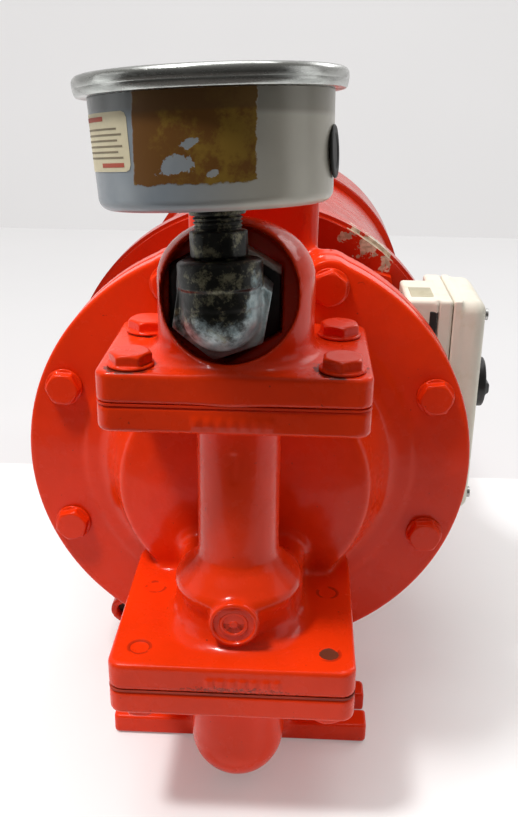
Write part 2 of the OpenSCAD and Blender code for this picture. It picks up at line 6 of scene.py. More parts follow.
import bmesh
import bpy
import numpy as np
from mathutils import Matrix, Vector


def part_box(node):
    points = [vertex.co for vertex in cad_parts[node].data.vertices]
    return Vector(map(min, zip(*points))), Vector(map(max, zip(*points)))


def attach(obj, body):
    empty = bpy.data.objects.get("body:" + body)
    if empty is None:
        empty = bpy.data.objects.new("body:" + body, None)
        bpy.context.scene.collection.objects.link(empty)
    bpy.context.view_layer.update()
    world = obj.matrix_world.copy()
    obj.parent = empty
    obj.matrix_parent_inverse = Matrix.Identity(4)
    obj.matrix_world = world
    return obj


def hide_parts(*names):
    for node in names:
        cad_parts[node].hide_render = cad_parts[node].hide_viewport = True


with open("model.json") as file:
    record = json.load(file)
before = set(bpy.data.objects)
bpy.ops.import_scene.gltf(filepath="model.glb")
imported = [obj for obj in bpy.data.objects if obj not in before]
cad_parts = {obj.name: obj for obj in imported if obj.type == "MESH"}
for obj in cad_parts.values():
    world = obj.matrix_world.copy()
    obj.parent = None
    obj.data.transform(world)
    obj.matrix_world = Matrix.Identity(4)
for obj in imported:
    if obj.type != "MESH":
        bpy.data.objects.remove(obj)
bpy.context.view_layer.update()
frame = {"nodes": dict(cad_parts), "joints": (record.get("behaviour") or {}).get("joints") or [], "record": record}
NODES = frame["nodes"]
SLOTS = {s["node"]: s["material_slot"] for s in frame["record"]["subparts"]}
MM = 0.001

# ---- measures from the frame


def mm(node):
    """Lowest and highest corners of a CAD node, in millimetres."""
    low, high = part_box(node)
    return np.array(low) / MM, np.array(high) / MM


FLANGE_R = mm("cover_gasket")[1][0]
SHAFT_Z = mm("motor_flange")[0][2] + (mm("motor_flange")[1][2] - mm("motor_flange")[0][2]) / 2
CASE_Y = mm("volute_casing")[0][1]
GASKET_T = mm("cover_gasket")[1][1] - mm("cover_gasket")[0][1]
COVER_BACK = CASE_Y - GASKET_T
COVER_T = 13.0
FLANGE_Y = COVER_BACK - COVER_T
BOLT_CIRCLE = 111.0
BOLT_ANGLES = [22.5 + 45 * i for i in range(8)]
RISER_Y = -43.0
PLATE_X = -0.6
UPPER_PLATE = ((PLATE_X, -34), (121, 82))
LOWER_PLATE = ((PLATE_X, -32.75), (118.6, 109.5))
UPPER_BOLTS = (46.4, (-63, -13))
LOWER_BOLTS = (46, (-72.5, -19))
HEAD_TOP, HEAD_JOINT, RISER_JOINT, RISER_FLANGE = 239.3, 225.1, 224.1, 211.6
FOOT_TOP, FOOT_JOINT, SUMP_JOINT, SUMP_FLANGE = 97.5, 83, 82, 69
DRAIN = (-80.5, 26)
MOUTH = (-6.5, 264)


def around_shaft(radius, angle):
    """X and Z of a point on a circle about the shaft."""
    a = radians(angle)
    return radius * cos(a), SHAFT_Z + radius * sin(a)


# ---- solid shapes as distance fields


class Grid:
    """A block of sample points, in millimetres, on which shapes are distance fields."""

    def __init__(self, low, high, step, margin=3.0):
        self.step = step
        self.low = np.array(low, float) - margin
        counts = np.ceil((np.array(high, float) + margin - self.low) / step).astype(int) + 1
        axes = [self.low[i] + step * np.arange(counts[i]) for i in range(3)]
        self.x = axes[0].astype(np.float32).reshape(-1, 1, 1)
        self.y = axes[1].astype(np.float32).reshape(1, -1, 1)
        self.z = axes[2].astype(np.float32).reshape(1, 1, -1)

    def along(self, axis):
        """The coordinate along an axis, then the two across it."""
        spread = {"x": (self.x, self.y, self.z), "y": (self.y, self.x, self.z), "z": (self.z, self.x, self.y)}
        return spread[axis]


def edged(across, t, start, end, edge):
    """A prism from its distance across and its span along t, with its end edges rounded."""
    a = across + edge
    b = np.abs(t - (start + end) / 2) - (end - start) / 2 + edge
    return np.minimum(np.maximum(a, b), 0) + np.hypot(np.maximum(a, 0), np.maximum(b, 0)) - edge


def grid_of(node, step, margin=3.0):
    return Grid(*mm(node), step, margin)


def rod(g, axis, centre, radius, start, end, edge=0.5):
    """A round bar along an axis. centre gives its two other coordinates."""
    t, u, v = g.along(axis)
    across = np.hypot(u - centre[0], v - centre[1]) - radius
    return edged(across, t, start, end, edge)


def oval_plate(g, centre, size, corner, start, end, edge=1.0):
    """A plate with rounded corners in plan, lying flat."""
    a = np.abs(g.x - centre[0]) - size[0] / 2 + corner
    b = np.abs(g.y - centre[1]) - size[1] / 2 + corner
    across = np.hypot(np.maximum(a, 0), np.maximum(b, 0)) + np.minimum(np.maximum(a, b), 0) - corner
    return edged(across, g.z, start, end, edge)


def block(g, low, high, edge=1.0):
    """A box with rounded edges."""
    d = [np.abs(c - (a + b) / 2) - (b - a) / 2 + edge for c, a, b in zip((g.x, g.y, g.z), low, high)]
    outside = np.sqrt(sum(np.maximum(q, 0) ** 2 for q in d))
    return outside + np.minimum(np.maximum(np.maximum(d[0], d[1]), d[2]), 0) - edge


def ball(g, centre, radius):
    return np.sqrt((g.x - centre[0]) ** 2 + (g.y - centre[1]) ** 2 + (g.z - centre[2]) ** 2) - radius


def slanted(g, base, direction, radius, start, end, edge=0.5, sides=0, turn=0.0):
    """A bar along any direction, round or with flat sides."""
    d = np.array(direction, float)
    d /= np.linalg.norm(d)
    side = np.cross(d, [0, 0, 1.0] if abs(d[2]) < 0.9 else [1.0, 0, 0])
    side /= np.linalg.norm(side)
    other = np.cross(d, side)
    x, y, z = g.x - base[0], g.y - base[1], g.z - base[2]
    t = x * d[0] + y * d[1] + z * d[2]
    u = x * side[0] + y * side[1] + z * side[2]
    v = x * other[0] + y * other[1] + z * other[2]
    if sides:
        angles = [radians(turn) + 2 * pi * i / sides for i in range(sides)]
        across = np.maximum.reduce([u * cos(a) + v * sin(a) for a in angles]) - radius
    else:
        across = np.hypot(u, v) - radius
    return edged(across, t, start, end, edge)


def polygon_distance(px, py, points):
    """Signed distance from points to a closed outline."""
    best = np.full(px.shape, 1e9)
    inside = np.zeros(px.shape, bool)
    for (ax, ay), (bx, by) in zip(points, points[1:] + points[:1]):
        ex, ey = bx - ax, by - ay
        t = np.clip(((px - ax) * ex + (py - ay) * ey) / (ex * ex + ey * ey + 1e-12), 0, 1)
        best = np.minimum(best, (px - ax - t * ex) ** 2 + (py - ay - t * ey) ** 2)
        crosses = (ay > py) != (by > py)
        inside ^= crosses & (px < ex * (py - ay) / (ey if abs(ey) > 1e-9 else 1e-9) + ax)
    return np.where(inside, -1, 1) * np.sqrt(best)


def turned_field(g, axis, centre, profile, sign=1.0, origin=0.0):
    """A turned solid: its half profile is (radius, height) points, height measured along sign * axis."""
    t, u, v = g.along(axis)
    radial = np.hypot(u - centre[0], v - centre[1])
    height = np.broadcast_to((t - origin) * sign, np.broadcast_shapes(t.shape, radial.shape))
    radial = np.broadcast_to(radial, height.shape)
    cell = 0.5
    r_count = int(radial.max() / cell) + 3
    h_low = float(height.min()) - cell
    h_count = int((height.max() - h_low) / cell) + 3
    pr, ph = np.meshgrid(np.arange(r_count) * cell, h_low + np.arange(h_count) * cell, indexing="ij")
    mirrored = [(-r, h) for r, h in reversed(profile) if r > 0]
    table = polygon_distance(pr, ph, list(profile) + mirrored).astype(np.float32)
    ri, hi = radial / cell, (height - h_low) / cell
    r0, h0 = ri.astype(np.int32), hi.astype(np.int32)
    fr, fh = ri - r0, hi - h0
    near = table[r0, h0] * (1 - fr) + table[r0 + 1, h0] * fr
    far = table[r0, h0 + 1] * (1 - fr) + table[r0 + 1, h0 + 1] * fr
    return near * (1 - fh) + far * fh


def melt(a, b, k):
    """Union of two shapes with a fillet of about k millimetres."""
    h = np.maximum(k - np.abs(a - b), 0) / k
    return np.minimum(a, b) - h * h * k / 4


def carve(a, b, k=0.8):
    """a without b, with a slightly softened edge."""
    return -melt(-a, b, k)


def carved(body, k, *tools):
    """body without each tool, every edge softened by k."""
    for tool in tools:
        body = carve(body, tool, k)
    return body


def net(g, values):
    """The surface of a field: one point per cell that it crosses, one four-sided face per crossed edge."""
    values = np.ascontiguousarray(values, np.float32)
    inside = values < 0
    shape = np.array(values.shape)
    corners = [(i, j, k) for i in (0, 1) for j in (0, 1) for k in (0, 1)]
    count = np.zeros(tuple(shape - 1), np.uint8)
    for i, j, k in corners:
        count += inside[i : shape[0] - 1 + i, j : shape[1] - 1 + j, k : shape[2] - 1 + k]
    cells = np.argwhere((count > 0) & (count < 8))
    index = np.full(tuple(shape - 1), -1, np.int64)
    index[tuple(cells.T)] = np.arange(len(cells))
    total = np.zeros((len(cells), 3))
    hits = np.zeros(len(cells))
    for axis in range(3):
        step = np.eye(3, dtype=int)[axis]
        for off in corners:
            if off[axis]:
                continue
            a = values[tuple((cells + off).T)]
            b = values[tuple((cells + off + step).T)]
            crossed = (a < 0) != (b < 0)
            t = np.where(crossed, a / np.where(crossed, a - b, 1), 0)
            total += crossed[:, None] * (np.array(off) + t[:, None] * step)
            hits += crossed
    points = cells + total / hits[:, None]
    faces = []
    for axis in range(3):
        one, two = [i for i in range(3) if i != axis]
        lower = [slice(1, None)] * 3
        upper = [slice(1, None)] * 3
        lower[axis], upper[axis] = slice(0, -1), slice(1, None)
        change = inside[tuple(lower)] != inside[tuple(upper)]
        edges = np.argwhere(change)
        edges[:, one] += 1
        edges[:, two] += 1
        keep = (edges[:, one] < shape[one] - 1) & (edges[:, two] < shape[two] - 1)
        edges = edges[keep]
        ring = []
        for du, dv in ((1, 1), (0, 1), (0, 0), (1, 0)):
            cell = edges.copy()
            cell[:, one] -= du
            cell[:, two] -= dv
            ring.append(index[tuple(cell.T)])
        quad = np.stack(ring, 1)
        starts_inside = inside[tuple(edges.T)]
        flip = starts_inside if axis == 1 else ~starts_inside
        quad[flip] = quad[flip][:, ::-1]
        faces.append(quad)
    return g.low + points * g.step, np.concatenate(faces)


def settle(g, values, points, rounds=2):
    """Moves net points onto the exact surface along the field's slope."""
    top = np.array(values.shape) - 2
    for _ in range(rounds):
        local = (points - g.low) / g.step
        base = np.clip(local.astype(int), 0, top)
        f = local - base
        value = np.zeros(len(points))
        slope = np.zeros((len(points), 3))
        for i in (0, 1):
            for j in (0, 1):
                for k in (0, 1):
                    sample = values[base[:, 0] + i, base[:, 1] + j, base[:, 2] + k]
                    wx, wy, wz = (f[:, n] if c else 1 - f[:, n] for n, c in enumerate((i, j, k)))
                    value += sample * wx * wy * wz
                    slope[:, 0] += sample * (2 * i - 1) * wy * wz
                    slope[:, 1] += sample * wx * (2 * j - 1) * wz
                    slope[:, 2] += sample * wx * wy * (2 * k - 1)
        slope /= g.step
        shift = slope * (value / np.maximum((slope**2).sum(1), 0.05))[:, None]
        points = points - np.clip(shift, -0.6 * g.step, 0.6 * g.step)
    return points


def linked(name, data):
    """An object in the scene for some data."""
    obj = bpy.data.objects.new(name, data)
    bpy.context.scene.collection.objects.link(obj)
    return obj


def from_bmesh(name, bm, matrix):
    """A mesh from a finished bmesh, set by matrix."""
    mesh = bpy.data.meshes.new(name)
    bm.to_mesh(mesh)
    bm.free()
    mesh.transform(matrix)
    return mesh


def mesh_from(name, points, faces):
    """A mesh object, in metres, from points in millimetres and faces of one size."""
    mesh = bpy.data.meshes.new(name)
    size = faces.shape[1]
    mesh.vertices.add(len(points))
    mesh.vertices.foreach_set("co", (points * MM).astype(np.float32).ravel())
    mesh.loops.add(faces.size)
    mesh.loops.foreach_set("vertex_index", faces.astype(np.int32).ravel())
    mesh.polygons.add(len(faces))
    mesh.polygons.foreach_set("loop_start", np.arange(0, faces.size, size, dtype=np.int32))
    mesh.polygons.foreach_set("use_smooth", np.ones(len(faces), bool))
    mesh.update(calc_edges=True)
    mesh.validate()
    return linked(name, mesh)


def solid(name, g, values):
    points, faces = net(g, values)
    return mesh_from(name, settle(g, values, points), faces)


def at(x, y, z, matrix=None):
    return Matrix.Translation(Vector((x, y, z)) * MM) @ (matrix or Matrix.Identity(4))


def turn(axis, angle):
    return Matrix.Rotation(radians(angle), 4, axis)


def place(obj, material, *replaced, body="pump"):
    """Gives a finished piece its material and its body, and hides the CAD nodes it stands for."""
    obj.data.materials.clear()
    obj.data.materials.append(material)
    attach(obj, body)
    if replaced:
        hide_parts(*replaced)


def cast(name, g, values, material, *replaced, body="pump"):
    """A placed piece from a field."""
    place(solid(name, g, values), material, *replaced, body=body)


def joined(name, objects):
    """Several mesh objects as one."""
    bpy.ops.object.select_all(action="DESELECT")
    for o in objects:
        o.select_set(True)
    bpy.context.view_layer.objects.active = objects[0]
    bpy.ops.object.join()
    objects[0].name = name
    return objects[0]


def copies(name, source, matrices):
    """One object made of copies of source, each set by its matrix."""
    made = []
    for i, matrix in enumerate(matrices):
        mesh = source.data.copy()
        mesh.transform(matrix)
        made.append(linked(f"{name}_{i}", mesh))
    bpy.data.objects.remove(source)
    return joined(name, made)


def turned(name, profile, matrix, segments=160):
    """A turned piece: (radius, height) points in millimetres, spun about local Z and set by matrix."""
    bm = bmesh.new()
    rings = []
    for r, h in profile:
        if r < 1e-6:
            rings.append([bm.verts.new((0, 0, h * MM))])
            continue
        angles = [2 * pi * i / segments for i in range(segments)]
        rings.append([bm.verts.new((r * MM * cos(a), r * MM * sin(a), h * MM)) for a in angles])
    pairs = list(zip(rings, rings[1:]))
    if len(rings[0]) > 1 and len(rings[-1]) > 1:
        pairs.append((rings[-1], rings[0]))
    for low, high in pairs:
        for i in range(segments):
            j = (i + 1) % segments
            loop = [low[i % len(low)], low[j % len(low)], high[j % len(high)], high[i % len(high)]]
            kept = [v for n, v in enumerate(loop) if v not in loop[:n]]
            if len(kept) > 2:
                bm.faces.new(kept)
    bmesh.ops.recalc_face_normals(bm, faces=bm.faces)
    mesh = from_bmesh(name, bm, matrix)
    mesh.shade_smooth()
    mesh.set_sharp_from_angle(angle=radians(35))
    return linked(name, mesh)


def arc(cx, cy, r, start, end, steps=6):
    """Points of an arc, from a start angle to an end angle in degrees."""
    angles = [radians(start + (end - start) * i / steps) for i in range(steps + 1)]
    return [(cx + r * cos(a), cy + r * sin(a)) for a in angles]


# ---- materials


class Shader:
    """Short forms for building a node material."""

    def __init__(self, name):
        self.material = bpy.data.materials.new(name)
        self.material.use_nodes = True
        self.tree = self.material.node_tree
        self.bsdf = self.tree.nodes["Principled BSDF"]
        self.where = self.node("ShaderNodeTexCoord").outputs["Object"]

    def node(self, kind, inputs=None, **fields):
        n = self.tree.nodes.new(kind)
        for key, value in fields.items():
            setattr(n, key, value)
        for key, value in (inputs or {}).items():
            self.feed(n.inputs[key], value)
        return n

    def feed(self, socket, value):
        """Sets a socket to a value, or links it to another socket."""
        if isinstance(value, bpy.types.NodeSocket):
            self.tree.links.new(value, socket)
        else:
            socket.default_value = value

    def noise(self, scale, detail=4.0, rough=0.55, stretch=None):
        vector = self.where
        if stretch:
            vector = self.node("ShaderNodeMapping", {"Vector": vector, "Scale": stretch}).outputs[0]
        inputs = {"Vector": vector, "Scale": scale, "Detail": detail, "Roughness": rough}
        return self.node("ShaderNodeTexNoise", inputs).outputs[0]

    def jitter(self, amount, scale, detail, rough):
        """Noise about zero."""
        return self.times(self.less(self.noise(scale, detail, rough), 0.5), amount)

    def steps(self, value, low, high, out_low=0.0, out_high=1.0):
        limits = {"Value": value, "From Min": low, "From Max": high, "To Min": out_low, "To Max": out_high}
        return self.node("ShaderNodeMapRange", limits, interpolation_type="SMOOTHSTEP").outputs[0]

    def maths(self, operation, a, b=0.0):
        return self.node("ShaderNodeMath", {0: a, 1: b}, operation=operation).outputs[0]

    def plus(self, a, b):
        return self.maths("ADD", a, b)

    def less(self, a, b):
        return self.maths("SUBTRACT", a, b)

    def times(self, a, b):
        return self.maths("MULTIPLY", a, b)

    def vector(self, operation, a, b=(0, 0, 0)):
        return self.node("ShaderNodeVectorMath", {0: a, 1: b}, operation=operation).outputs

    def xyz(self):
        return self.node("ShaderNodeSeparateXYZ", {"Vector": self.where}).outputs

    def mix(self, factor, a, b):
        n = self.node("ShaderNodeMix", data_type="RGBA")
        for socket, value in ((n.inputs[0], factor), (n.inputs[6], a), (n.inputs[7], b)):
            self.feed(socket, value)
        return n.outputs[2]

    def hollow(self, distance):
        """1 deep in a corner, 0 on an open face."""
        ao = self.node("ShaderNodeAmbientOcclusion", {"Distance": distance}, samples=6)
        return self.less(1.0, ao.outputs["AO"])

    def set(self, key, value):
        self.feed(self.bsdf.inputs[key], value)

    def colour(self, value):
        self.set("Base Color", value)

    def bump(self, height, strength, distance, under=None):
        inputs = {"Height": height, "Strength": strength, "Distance": distance}
        if under:
            inputs["Normal"] = under
        out = self.node("ShaderNodeBump", inputs).outputs[0]
        self.tree.links.new(out, self.bsdf.inputs["Normal"])
        return out


def rgb(r, g, b, k=1.0):
    return (r * k, g * k, b * k, 1.0)


def enamel(name, base=(0.82, 0.037, 0.003), dirt_and_shade=0.4, rough=0.2, finish=None, shade=0.35):
    """Thick glossy enamel over a casting: soft ripple, painted shade that makes it deeper red in hollows, grime
    and painted shade in the corners.
    """
    s = Shader(name)
    cloud = s.noise(14, 3)
    colour = s.mix(s.steps(cloud, 0.3, 0.7), rgb(*base, 0.90), rgb(*base, 1.06))
    speck = s.steps(s.noise(420, 2, 0.5), 0.73, 0.78)
    colour = s.mix(s.times(speck, 0.5), colour, rgb(0.10, 0.012, 0.008))
    # Painted shade: deeper red wherever ambient occlusion finds a wide hollow.
    painted_hollow_shade = s.steps(s.hollow(0.035), 0.3, 0.9, 0.0, shade)
    colour = s.mix(painted_hollow_shade, colour, rgb(0.36, 0.012, 0.002))
    # Grime and painted shade: dark brown in tight corners and creases, found by ambient occlusion and broken up by
    # noise.
    crease_shade = s.steps(s.hollow(0.007), 0.52, 0.95)
    grime_and_shade = s.times(crease_shade, s.steps(s.noise(90, 5), 0.35, 0.6, 0.3, 1.0))
    colour = s.mix(s.times(grime_and_shade, dirt_and_shade), colour, rgb(0.055, 0.012, 0.006))
    roughness = s.steps(s.noise(60, 5), 0.35, 0.7, rough, rough + 0.12)
    if finish:
        colour = finish(s, colour)
    s.colour(colour)
    s.set("Roughness", roughness)
    s.set("Coat Weight", 0.15)
    s.set("Coat Roughness", 0.08)
    s.set("Specular IOR Level", 0.15)
    skin = s.bump(s.noise(130, 3, 0.5), 0.22, 0.0012)
    s.bump(s.noise(700, 2, 0.6), 0.12, 0.0003, under=skin)
    return s.material


def blot(s, centre, size, ragged=0.8, scale=120):
    """1 inside a ragged patch around a point; centre and size are in millimetres."""
    shifted = s.vector("ADD", s.where, tuple(-c * MM for c in centre))[0]
    scaled = s.vector("MULTIPLY", shifted, tuple(1 / (r * MM) for r in size))[0]
    reach = s.vector("LENGTH", scaled)["Value"]
    return s.steps(s.plus(reach, s.jitter(ragged * 4, scale, 5, 0.7)), 1.04, 0.96)


def ring_reach(s, places):
    """Distance in plan to the nearest of a flange pair's four bolts, then the height."""
    x, y, z = s.xyz()
    across = s.less(s.maths("ABSOLUTE", x), places[0] * MM)
    one, two = (s.maths("ABSOLUTE", s.less(y, row * MM)) for row in places[1])
    along = s.maths("MINIMUM", one, two)
    return s.maths("SQRT", s.plus(s.times(across, across), s.times(along, along))), z


def head_finish(s, colour):
    """Dark lumps of old sealant squeezed out from under the washers on the upper flange."""
    reach, z = ring_reach(s, UPPER_BOLTS)
    ragged = s.plus(reach, s.jitter(0.010, 230, 6, 0.8))
    lump = s.times(s.steps(ragged, 0.0128, 0.0118), s.steps(s.noise(38, 3), 0.47, 0.55))
    lump = s.times(lump, s.steps(z, 0.2385, 0.239))
    return s.mix(s.times(lump, 0.85), colour, rgb(0.035, 0.014, 0.008))


def cover_finish(s, colour):
    """Cracked paint at the stud ends of the lower flange, one of them bare, and grime along its edge."""
    reach, z = ring_reach(s, LOWER_BOLTS)
    crack = s.times(s.steps(reach, 0.0043, 0.0048), s.steps(reach, 0.0064, 0.0058))
    crack = s.times(crack, s.steps(s.noise(75, 4, 0.6), 0.47, 0.53))
    crack = s.times(crack, s.steps(z, 0.098, 0.0965))
    colour = s.mix(crack, colour, rgb(0.035, 0.010, 0.007))
    colour = s.mix(blot(s, (46, -72.5, 97), (4.6, 4.6, 3), 0.15), colour, rgb(0.13, 0.035, 0.018))
    grain = s.steps(s.noise(700, 4, 0.7), 0.45, 0.6)
    grime_and_shade = s.times(blot(s, (3, -87.5, 84.5), (24, 8, 3), 0.5, 260), grain)
    return s.mix(s.times(grime_and_shade, 0.6), colour, rgb(0.06, 0.018, 0.010))


def bolt_finish(s, colour):
    """A worn grey spot on one cover bolt."""
    return s.mix(blot(s, (102, 38.5, 193), (6, 4, 3), 0.3, 200), colour, rgb(0.34, 0.30, 0.25))


def motor_finish(s, colour):
    """Flakes of paint gone down to pale filler on the upper right of the motor's disc, which partly stand in as a
    painted highlight on its rim.
    """
    # Worn paint and painted highlight: pale patches on the upper right of the rim.
    flakes_and_highlight = blot(s, (71, 149, 251), (9, 12, 9), 1.3, 75)
    flakes_and_highlight = s.maths("MAXIMUM", flakes_and_highlight, blot(s, (57, 149, 256), (7, 12, 4), 1.1, 90))
    flakes_and_highlight = s.maths("MAXIMUM", flakes_and_highlight, blot(s, (80, 149, 240), (4, 12, 6), 1.1, 90))
    pale = s.mix(s.steps(s.noise(220, 4), 0.4, 0.6), rgb(0.62, 0.48, 0.36), rgb(0.36, 0.30, 0.21))
    return s.mix(flakes_and_highlight, colour, pale)


def metal(name, base, rough, grime_and_shade=0.4, streak=(1, 1, 1), spread=0.15, scratch=0.1):
    """Worn bare metal with streaked roughness, and painted shade darkening its hollows."""
    s = Shader(name)
    wear = s.noise(80, 6, 0.6, streak)
    colour = s.mix(s.steps(wear, 0.35, 0.7), rgb(*base), rgb(*base, 0.72))
    # Painted shade: the hollows go near black by ambient occlusion.
    dark = s.times(s.steps(s.hollow(0.004), 0.3, 0.9), grime_and_shade)
    s.colour(s.mix(dark, colour, rgb(0.02, 0.016, 0.012)))
    s.set("Metallic", 1.0)
    s.set("Roughness", s.steps(wear, 0.3, 0.75, rough, rough + spread))
    s.bump(s.noise(900, 2, 0.6, streak), scratch, 0.0002)
    return s.material


def plain(name, base, rough, variation=0.12, bump=0.1, scale=300, dirt_and_shade=0.0, dirt_colour=(0.1, 0.06, 0.03)):
    """Moulded plastic, rubber or paint with a fine grain."""
    s = Shader(name)
    cloud = s.noise(40, 5)
    colour = s.mix(s.steps(cloud, 0.3, 0.7), rgb(*base, 1 - variation), rgb(*base))
    if dirt_and_shade:
        stain = s.times(s.steps(s.noise(60, 6, 0.7), 0.5, 0.75), dirt_and_shade)
        colour = s.mix(stain, colour, rgb(*dirt_colour))
    s.colour(colour)
    s.set("Roughness", s.steps(cloud, 0.3, 0.7, rough, rough + 0.1))
    s.bump(s.noise(scale, 3), bump, 0.0004)
    return s.material


def galvanised():
    """Zinc fitting, blue-grey below and to the right, black with thread paste and grime above."""
    s = Shader("galvanised_fitting")
    x, y, z = s.xyz()
    level = s.plus(z, s.jitter(0.05, 120, 6, 0.7))
    level = s.less(level, s.steps(x, 0.003, 0.009, 0, 0.02))
    zinc = s.mix(s.steps(s.noise(160, 6, 0.7), 0.35, 0.65), rgb(0.26, 0.35, 0.37), rgb(0.48, 0.57, 0.58))
    soot = s.mix(s.steps(s.noise(150, 6, 0.75), 0.50, 0.64), rgb(0.008, 0.008, 0.006), rgb(0.17, 0.16, 0.10))
    s.colour(s.mix(s.steps(level, 0.250, 0.265), zinc, soot))
    s.set("Metallic", 0.45)
    s.set("Roughness", s.steps(s.noise(140, 5), 0.3, 0.7, 0.3, 0.5))
    s.bump(s.noise(260, 5, 0.7), 0.4, 0.0006)
    return s.material


def bushing_iron():
    """Black iron bushing, with a painted highlight in light grey along its upper right edge."""
    s = Shader("bushing_iron")
    x, y, z = s.xyz()
    across = s.plus(s.times(x, 0.5), s.times(z, 0.866))
    edge = s.plus(across, s.times(s.noise(160, 5, 0.7), 0.002))
    middle = (MOUTH[0] * 0.5 + MOUTH[1] * 0.866) * MM
    # Painted highlight: the upper right flat, where light falls, is coloured light grey.
    painted_highlight = s.steps(edge, middle + 0.0232, middle + 0.0242)
    s.colour(s.mix(painted_highlight, rgb(0.010, 0.010, 0.011), rgb(0.55, 0.55, 0.52)))
    s.set("Roughness", s.steps(s.noise(200, 5), 0.3, 0.7, 0.28, 0.5))
    s.bump(s.noise(240, 4, 0.6), 0.35, 0.0005)
    return s.material


def gauge_paint():
    """Grey case paint, with the brown film that an old label left around the front, and a painted shadow of the
    bezel in a band along the top.
    """
    s = Shader("gauge_case_paint")
    x, y, z = s.xyz()
    h = s.less(s.vector("DOT_PRODUCT", s.where, tuple(AXIS))["Value"], BACK.dot(AXIS))
    dx = s.less(x, BACK.x)
    ragged = s.jitter(0.006, 110, 6, 0.7)
    left = s.steps(s.plus(dx, s.times(ragged, 0.4)), -0.0279, -0.0272)
    right = s.steps(s.plus(dx, ragged), 0.0186, 0.0180)
    base = s.steps(s.plus(h, ragged), 0.0102, 0.0110)
    front = s.steps(y, BACK.y, BACK.y - 0.002)
    film = s.times(s.times(left, right), s.times(base, front))
    bare = [(-0.0102, 0.0187, 0.0085, 0.0030), (-0.0068, 0.0255, 0.0042, 0.0018)]
    bare.append((0.0028, 0.0135, 0.0020, 0.0012))
    for cx, ch, half, tall in bare:
        a = s.maths("DIVIDE", s.less(dx, cx), half)
        b = s.maths("DIVIDE", s.less(s.less(h, ch), s.times(dx, 0.12)), tall)
        reach = s.maths("SQRT", s.plus(s.times(a, a), s.times(b, b)))
        reach = s.plus(reach, s.jitter(3.4, 150, 6, 0.75))
        film = s.times(film, s.steps(reach, 0.94, 1.02))
    cloud = s.plus(s.noise(95, 6, 0.68), s.times(dx, 6.0))
    mottle = s.mix(s.steps(cloud, 0.42, 0.6), rgb(0.145, 0.058, 0.008), rgb(0.235, 0.135, 0.016))
    # Painted shadow: the film darkens in a band under the bezel.
    mottle = s.mix(s.steps(h, 0.0355, 0.0372, 0.0, 0.75), mottle, rgb(0.105, 0.050, 0.014))
    paint = s.mix(s.steps(s.noise(30, 4), 0.35, 0.65), rgb(0.26, 0.28, 0.30), rgb(0.38, 0.39, 0.39))
    cool = s.mix(s.steps(dx, -0.02, 0.03), rgb(0.21, 0.25, 0.29), rgb(0.58, 0.53, 0.42))
    paint = s.mix(0.6, paint, cool)
    # Painted shadow: the paint darkens in a band under the bezel.
    bezel_shadow = s.steps(s.plus(h, s.times(dx, 0.04)), 0.0345, 0.0375, 0.0, 0.5)
    paint = s.mix(bezel_shadow, paint, rgb(0.12, 0.11, 0.085))
    s.colour(s.mix(film, paint, mottle))
    s.set("Roughness", s.steps(film, 0, 1, 0.26, 0.55))
    s.set("Metallic", 0.1)
    s.set("Specular IOR Level", 0.3)
    skin = s.bump(film, 0.5, 0.0002)
    s.bump(s.noise(350, 4, 0.6), 0.12, 0.0003, under=skin)
    return s.material


def clear_glass():
    s = Shader("gauge_glass")
    s.colour(rgb(0.95, 0.98, 0.98))
    s.set("Transmission Weight", 1.0)
    s.set("IOR", 1.45)
    haze = s.noise(60, 5, 0.6)
    s.set("Roughness", s.steps(haze, 0.45, 0.8, 0.02, 0.12))
    return s.material


RED = enamel("red_enamel")
RED_COVER = enamel("red_enamel_cover", dirt_and_shade=0.25, finish=cover_finish)
RED_HEAD = enamel("red_enamel_head", dirt_and_shade=0.1, finish=head_finish, shade=0.0)
# Painted shade: a darker copy of the red enamel for the motor, which sits in shade behind the pump.
RED_MOTOR_SHADED = enamel("red_enamel_motor_shaded", (0.50, 0.021, 0.004), rough=0.22, finish=motor_finish)
RED_REAR = enamel("red_enamel_rear", (0.74, 0.036, 0.005), rough=0.26)
RED_BOLT = enamel("red_enamel_bolts", dirt_and_shade=0.8, rough=0.24, finish=bolt_finish)
STEEL = metal("machined_steel", (0.52, 0.52, 0.51), 0.3)
BRIGHT = metal("ground_steel", (0.72, 0.72, 0.72), 0.16, 0.2)
CHROME = metal("polished_bezel", (0.50, 0.51, 0.49), 0.16, 0.2, (1, 1, 6), 0.2, 0.14)
BRONZE = metal("cast_bronze", (0.55, 0.33, 0.14), 0.34)
LAMINATION = metal("laminations", (0.30, 0.30, 0.32), 0.4, 0.3, (1, 30, 1))
COPPER = metal("varnished_copper", (0.52, 0.20, 0.08), 0.3, 0.4, (1, 18, 1))
RUST = plain("rusty_iron", (0.085, 0.036, 0.020), 0.75, 0.5, 0.6, 240, 0.5, (0.02, 0.014, 0.012))
BLACK = plain("black_plastic", (0.018, 0.018, 0.018), 0.4)
RUBBER = plain("black_rubber", (0.012, 0.012, 0.012), 0.6)
SEAM = enamel("painted_gasket", (0.70, 0.034, 0.004), 0.1, 0.4, shade=0.1)
SEAM_DIRTY = plain("dirty_gasket", (0.44, 0.035, 0.010), 0.7, 0.4, 0.5, 400, 0.8, (0.07, 0.022, 0.012))
LABEL_OLD = plain("old_sticker", (0.50, 0.46, 0.32), 0.5, 0.3, 0.1, 200, 0.6, (0.28, 0.24, 0.14))
GASKET = plain("gasket", (0.030, 0.014, 0.010), 0.8, 0.4, 0.4)
CREAM = plain("aged_cream_plastic", (0.76, 0.71, 0.60), 0.42, 0.08, 0.08, 260, 0.4, (0.54, 0.43, 0.22))
CERAMIC = plain("ceramic", (0.80, 0.78, 0.72), 0.2)
DIAL = plain("dial_white", (0.82, 0.82, 0.78), 0.5, 0.05, 0.03)
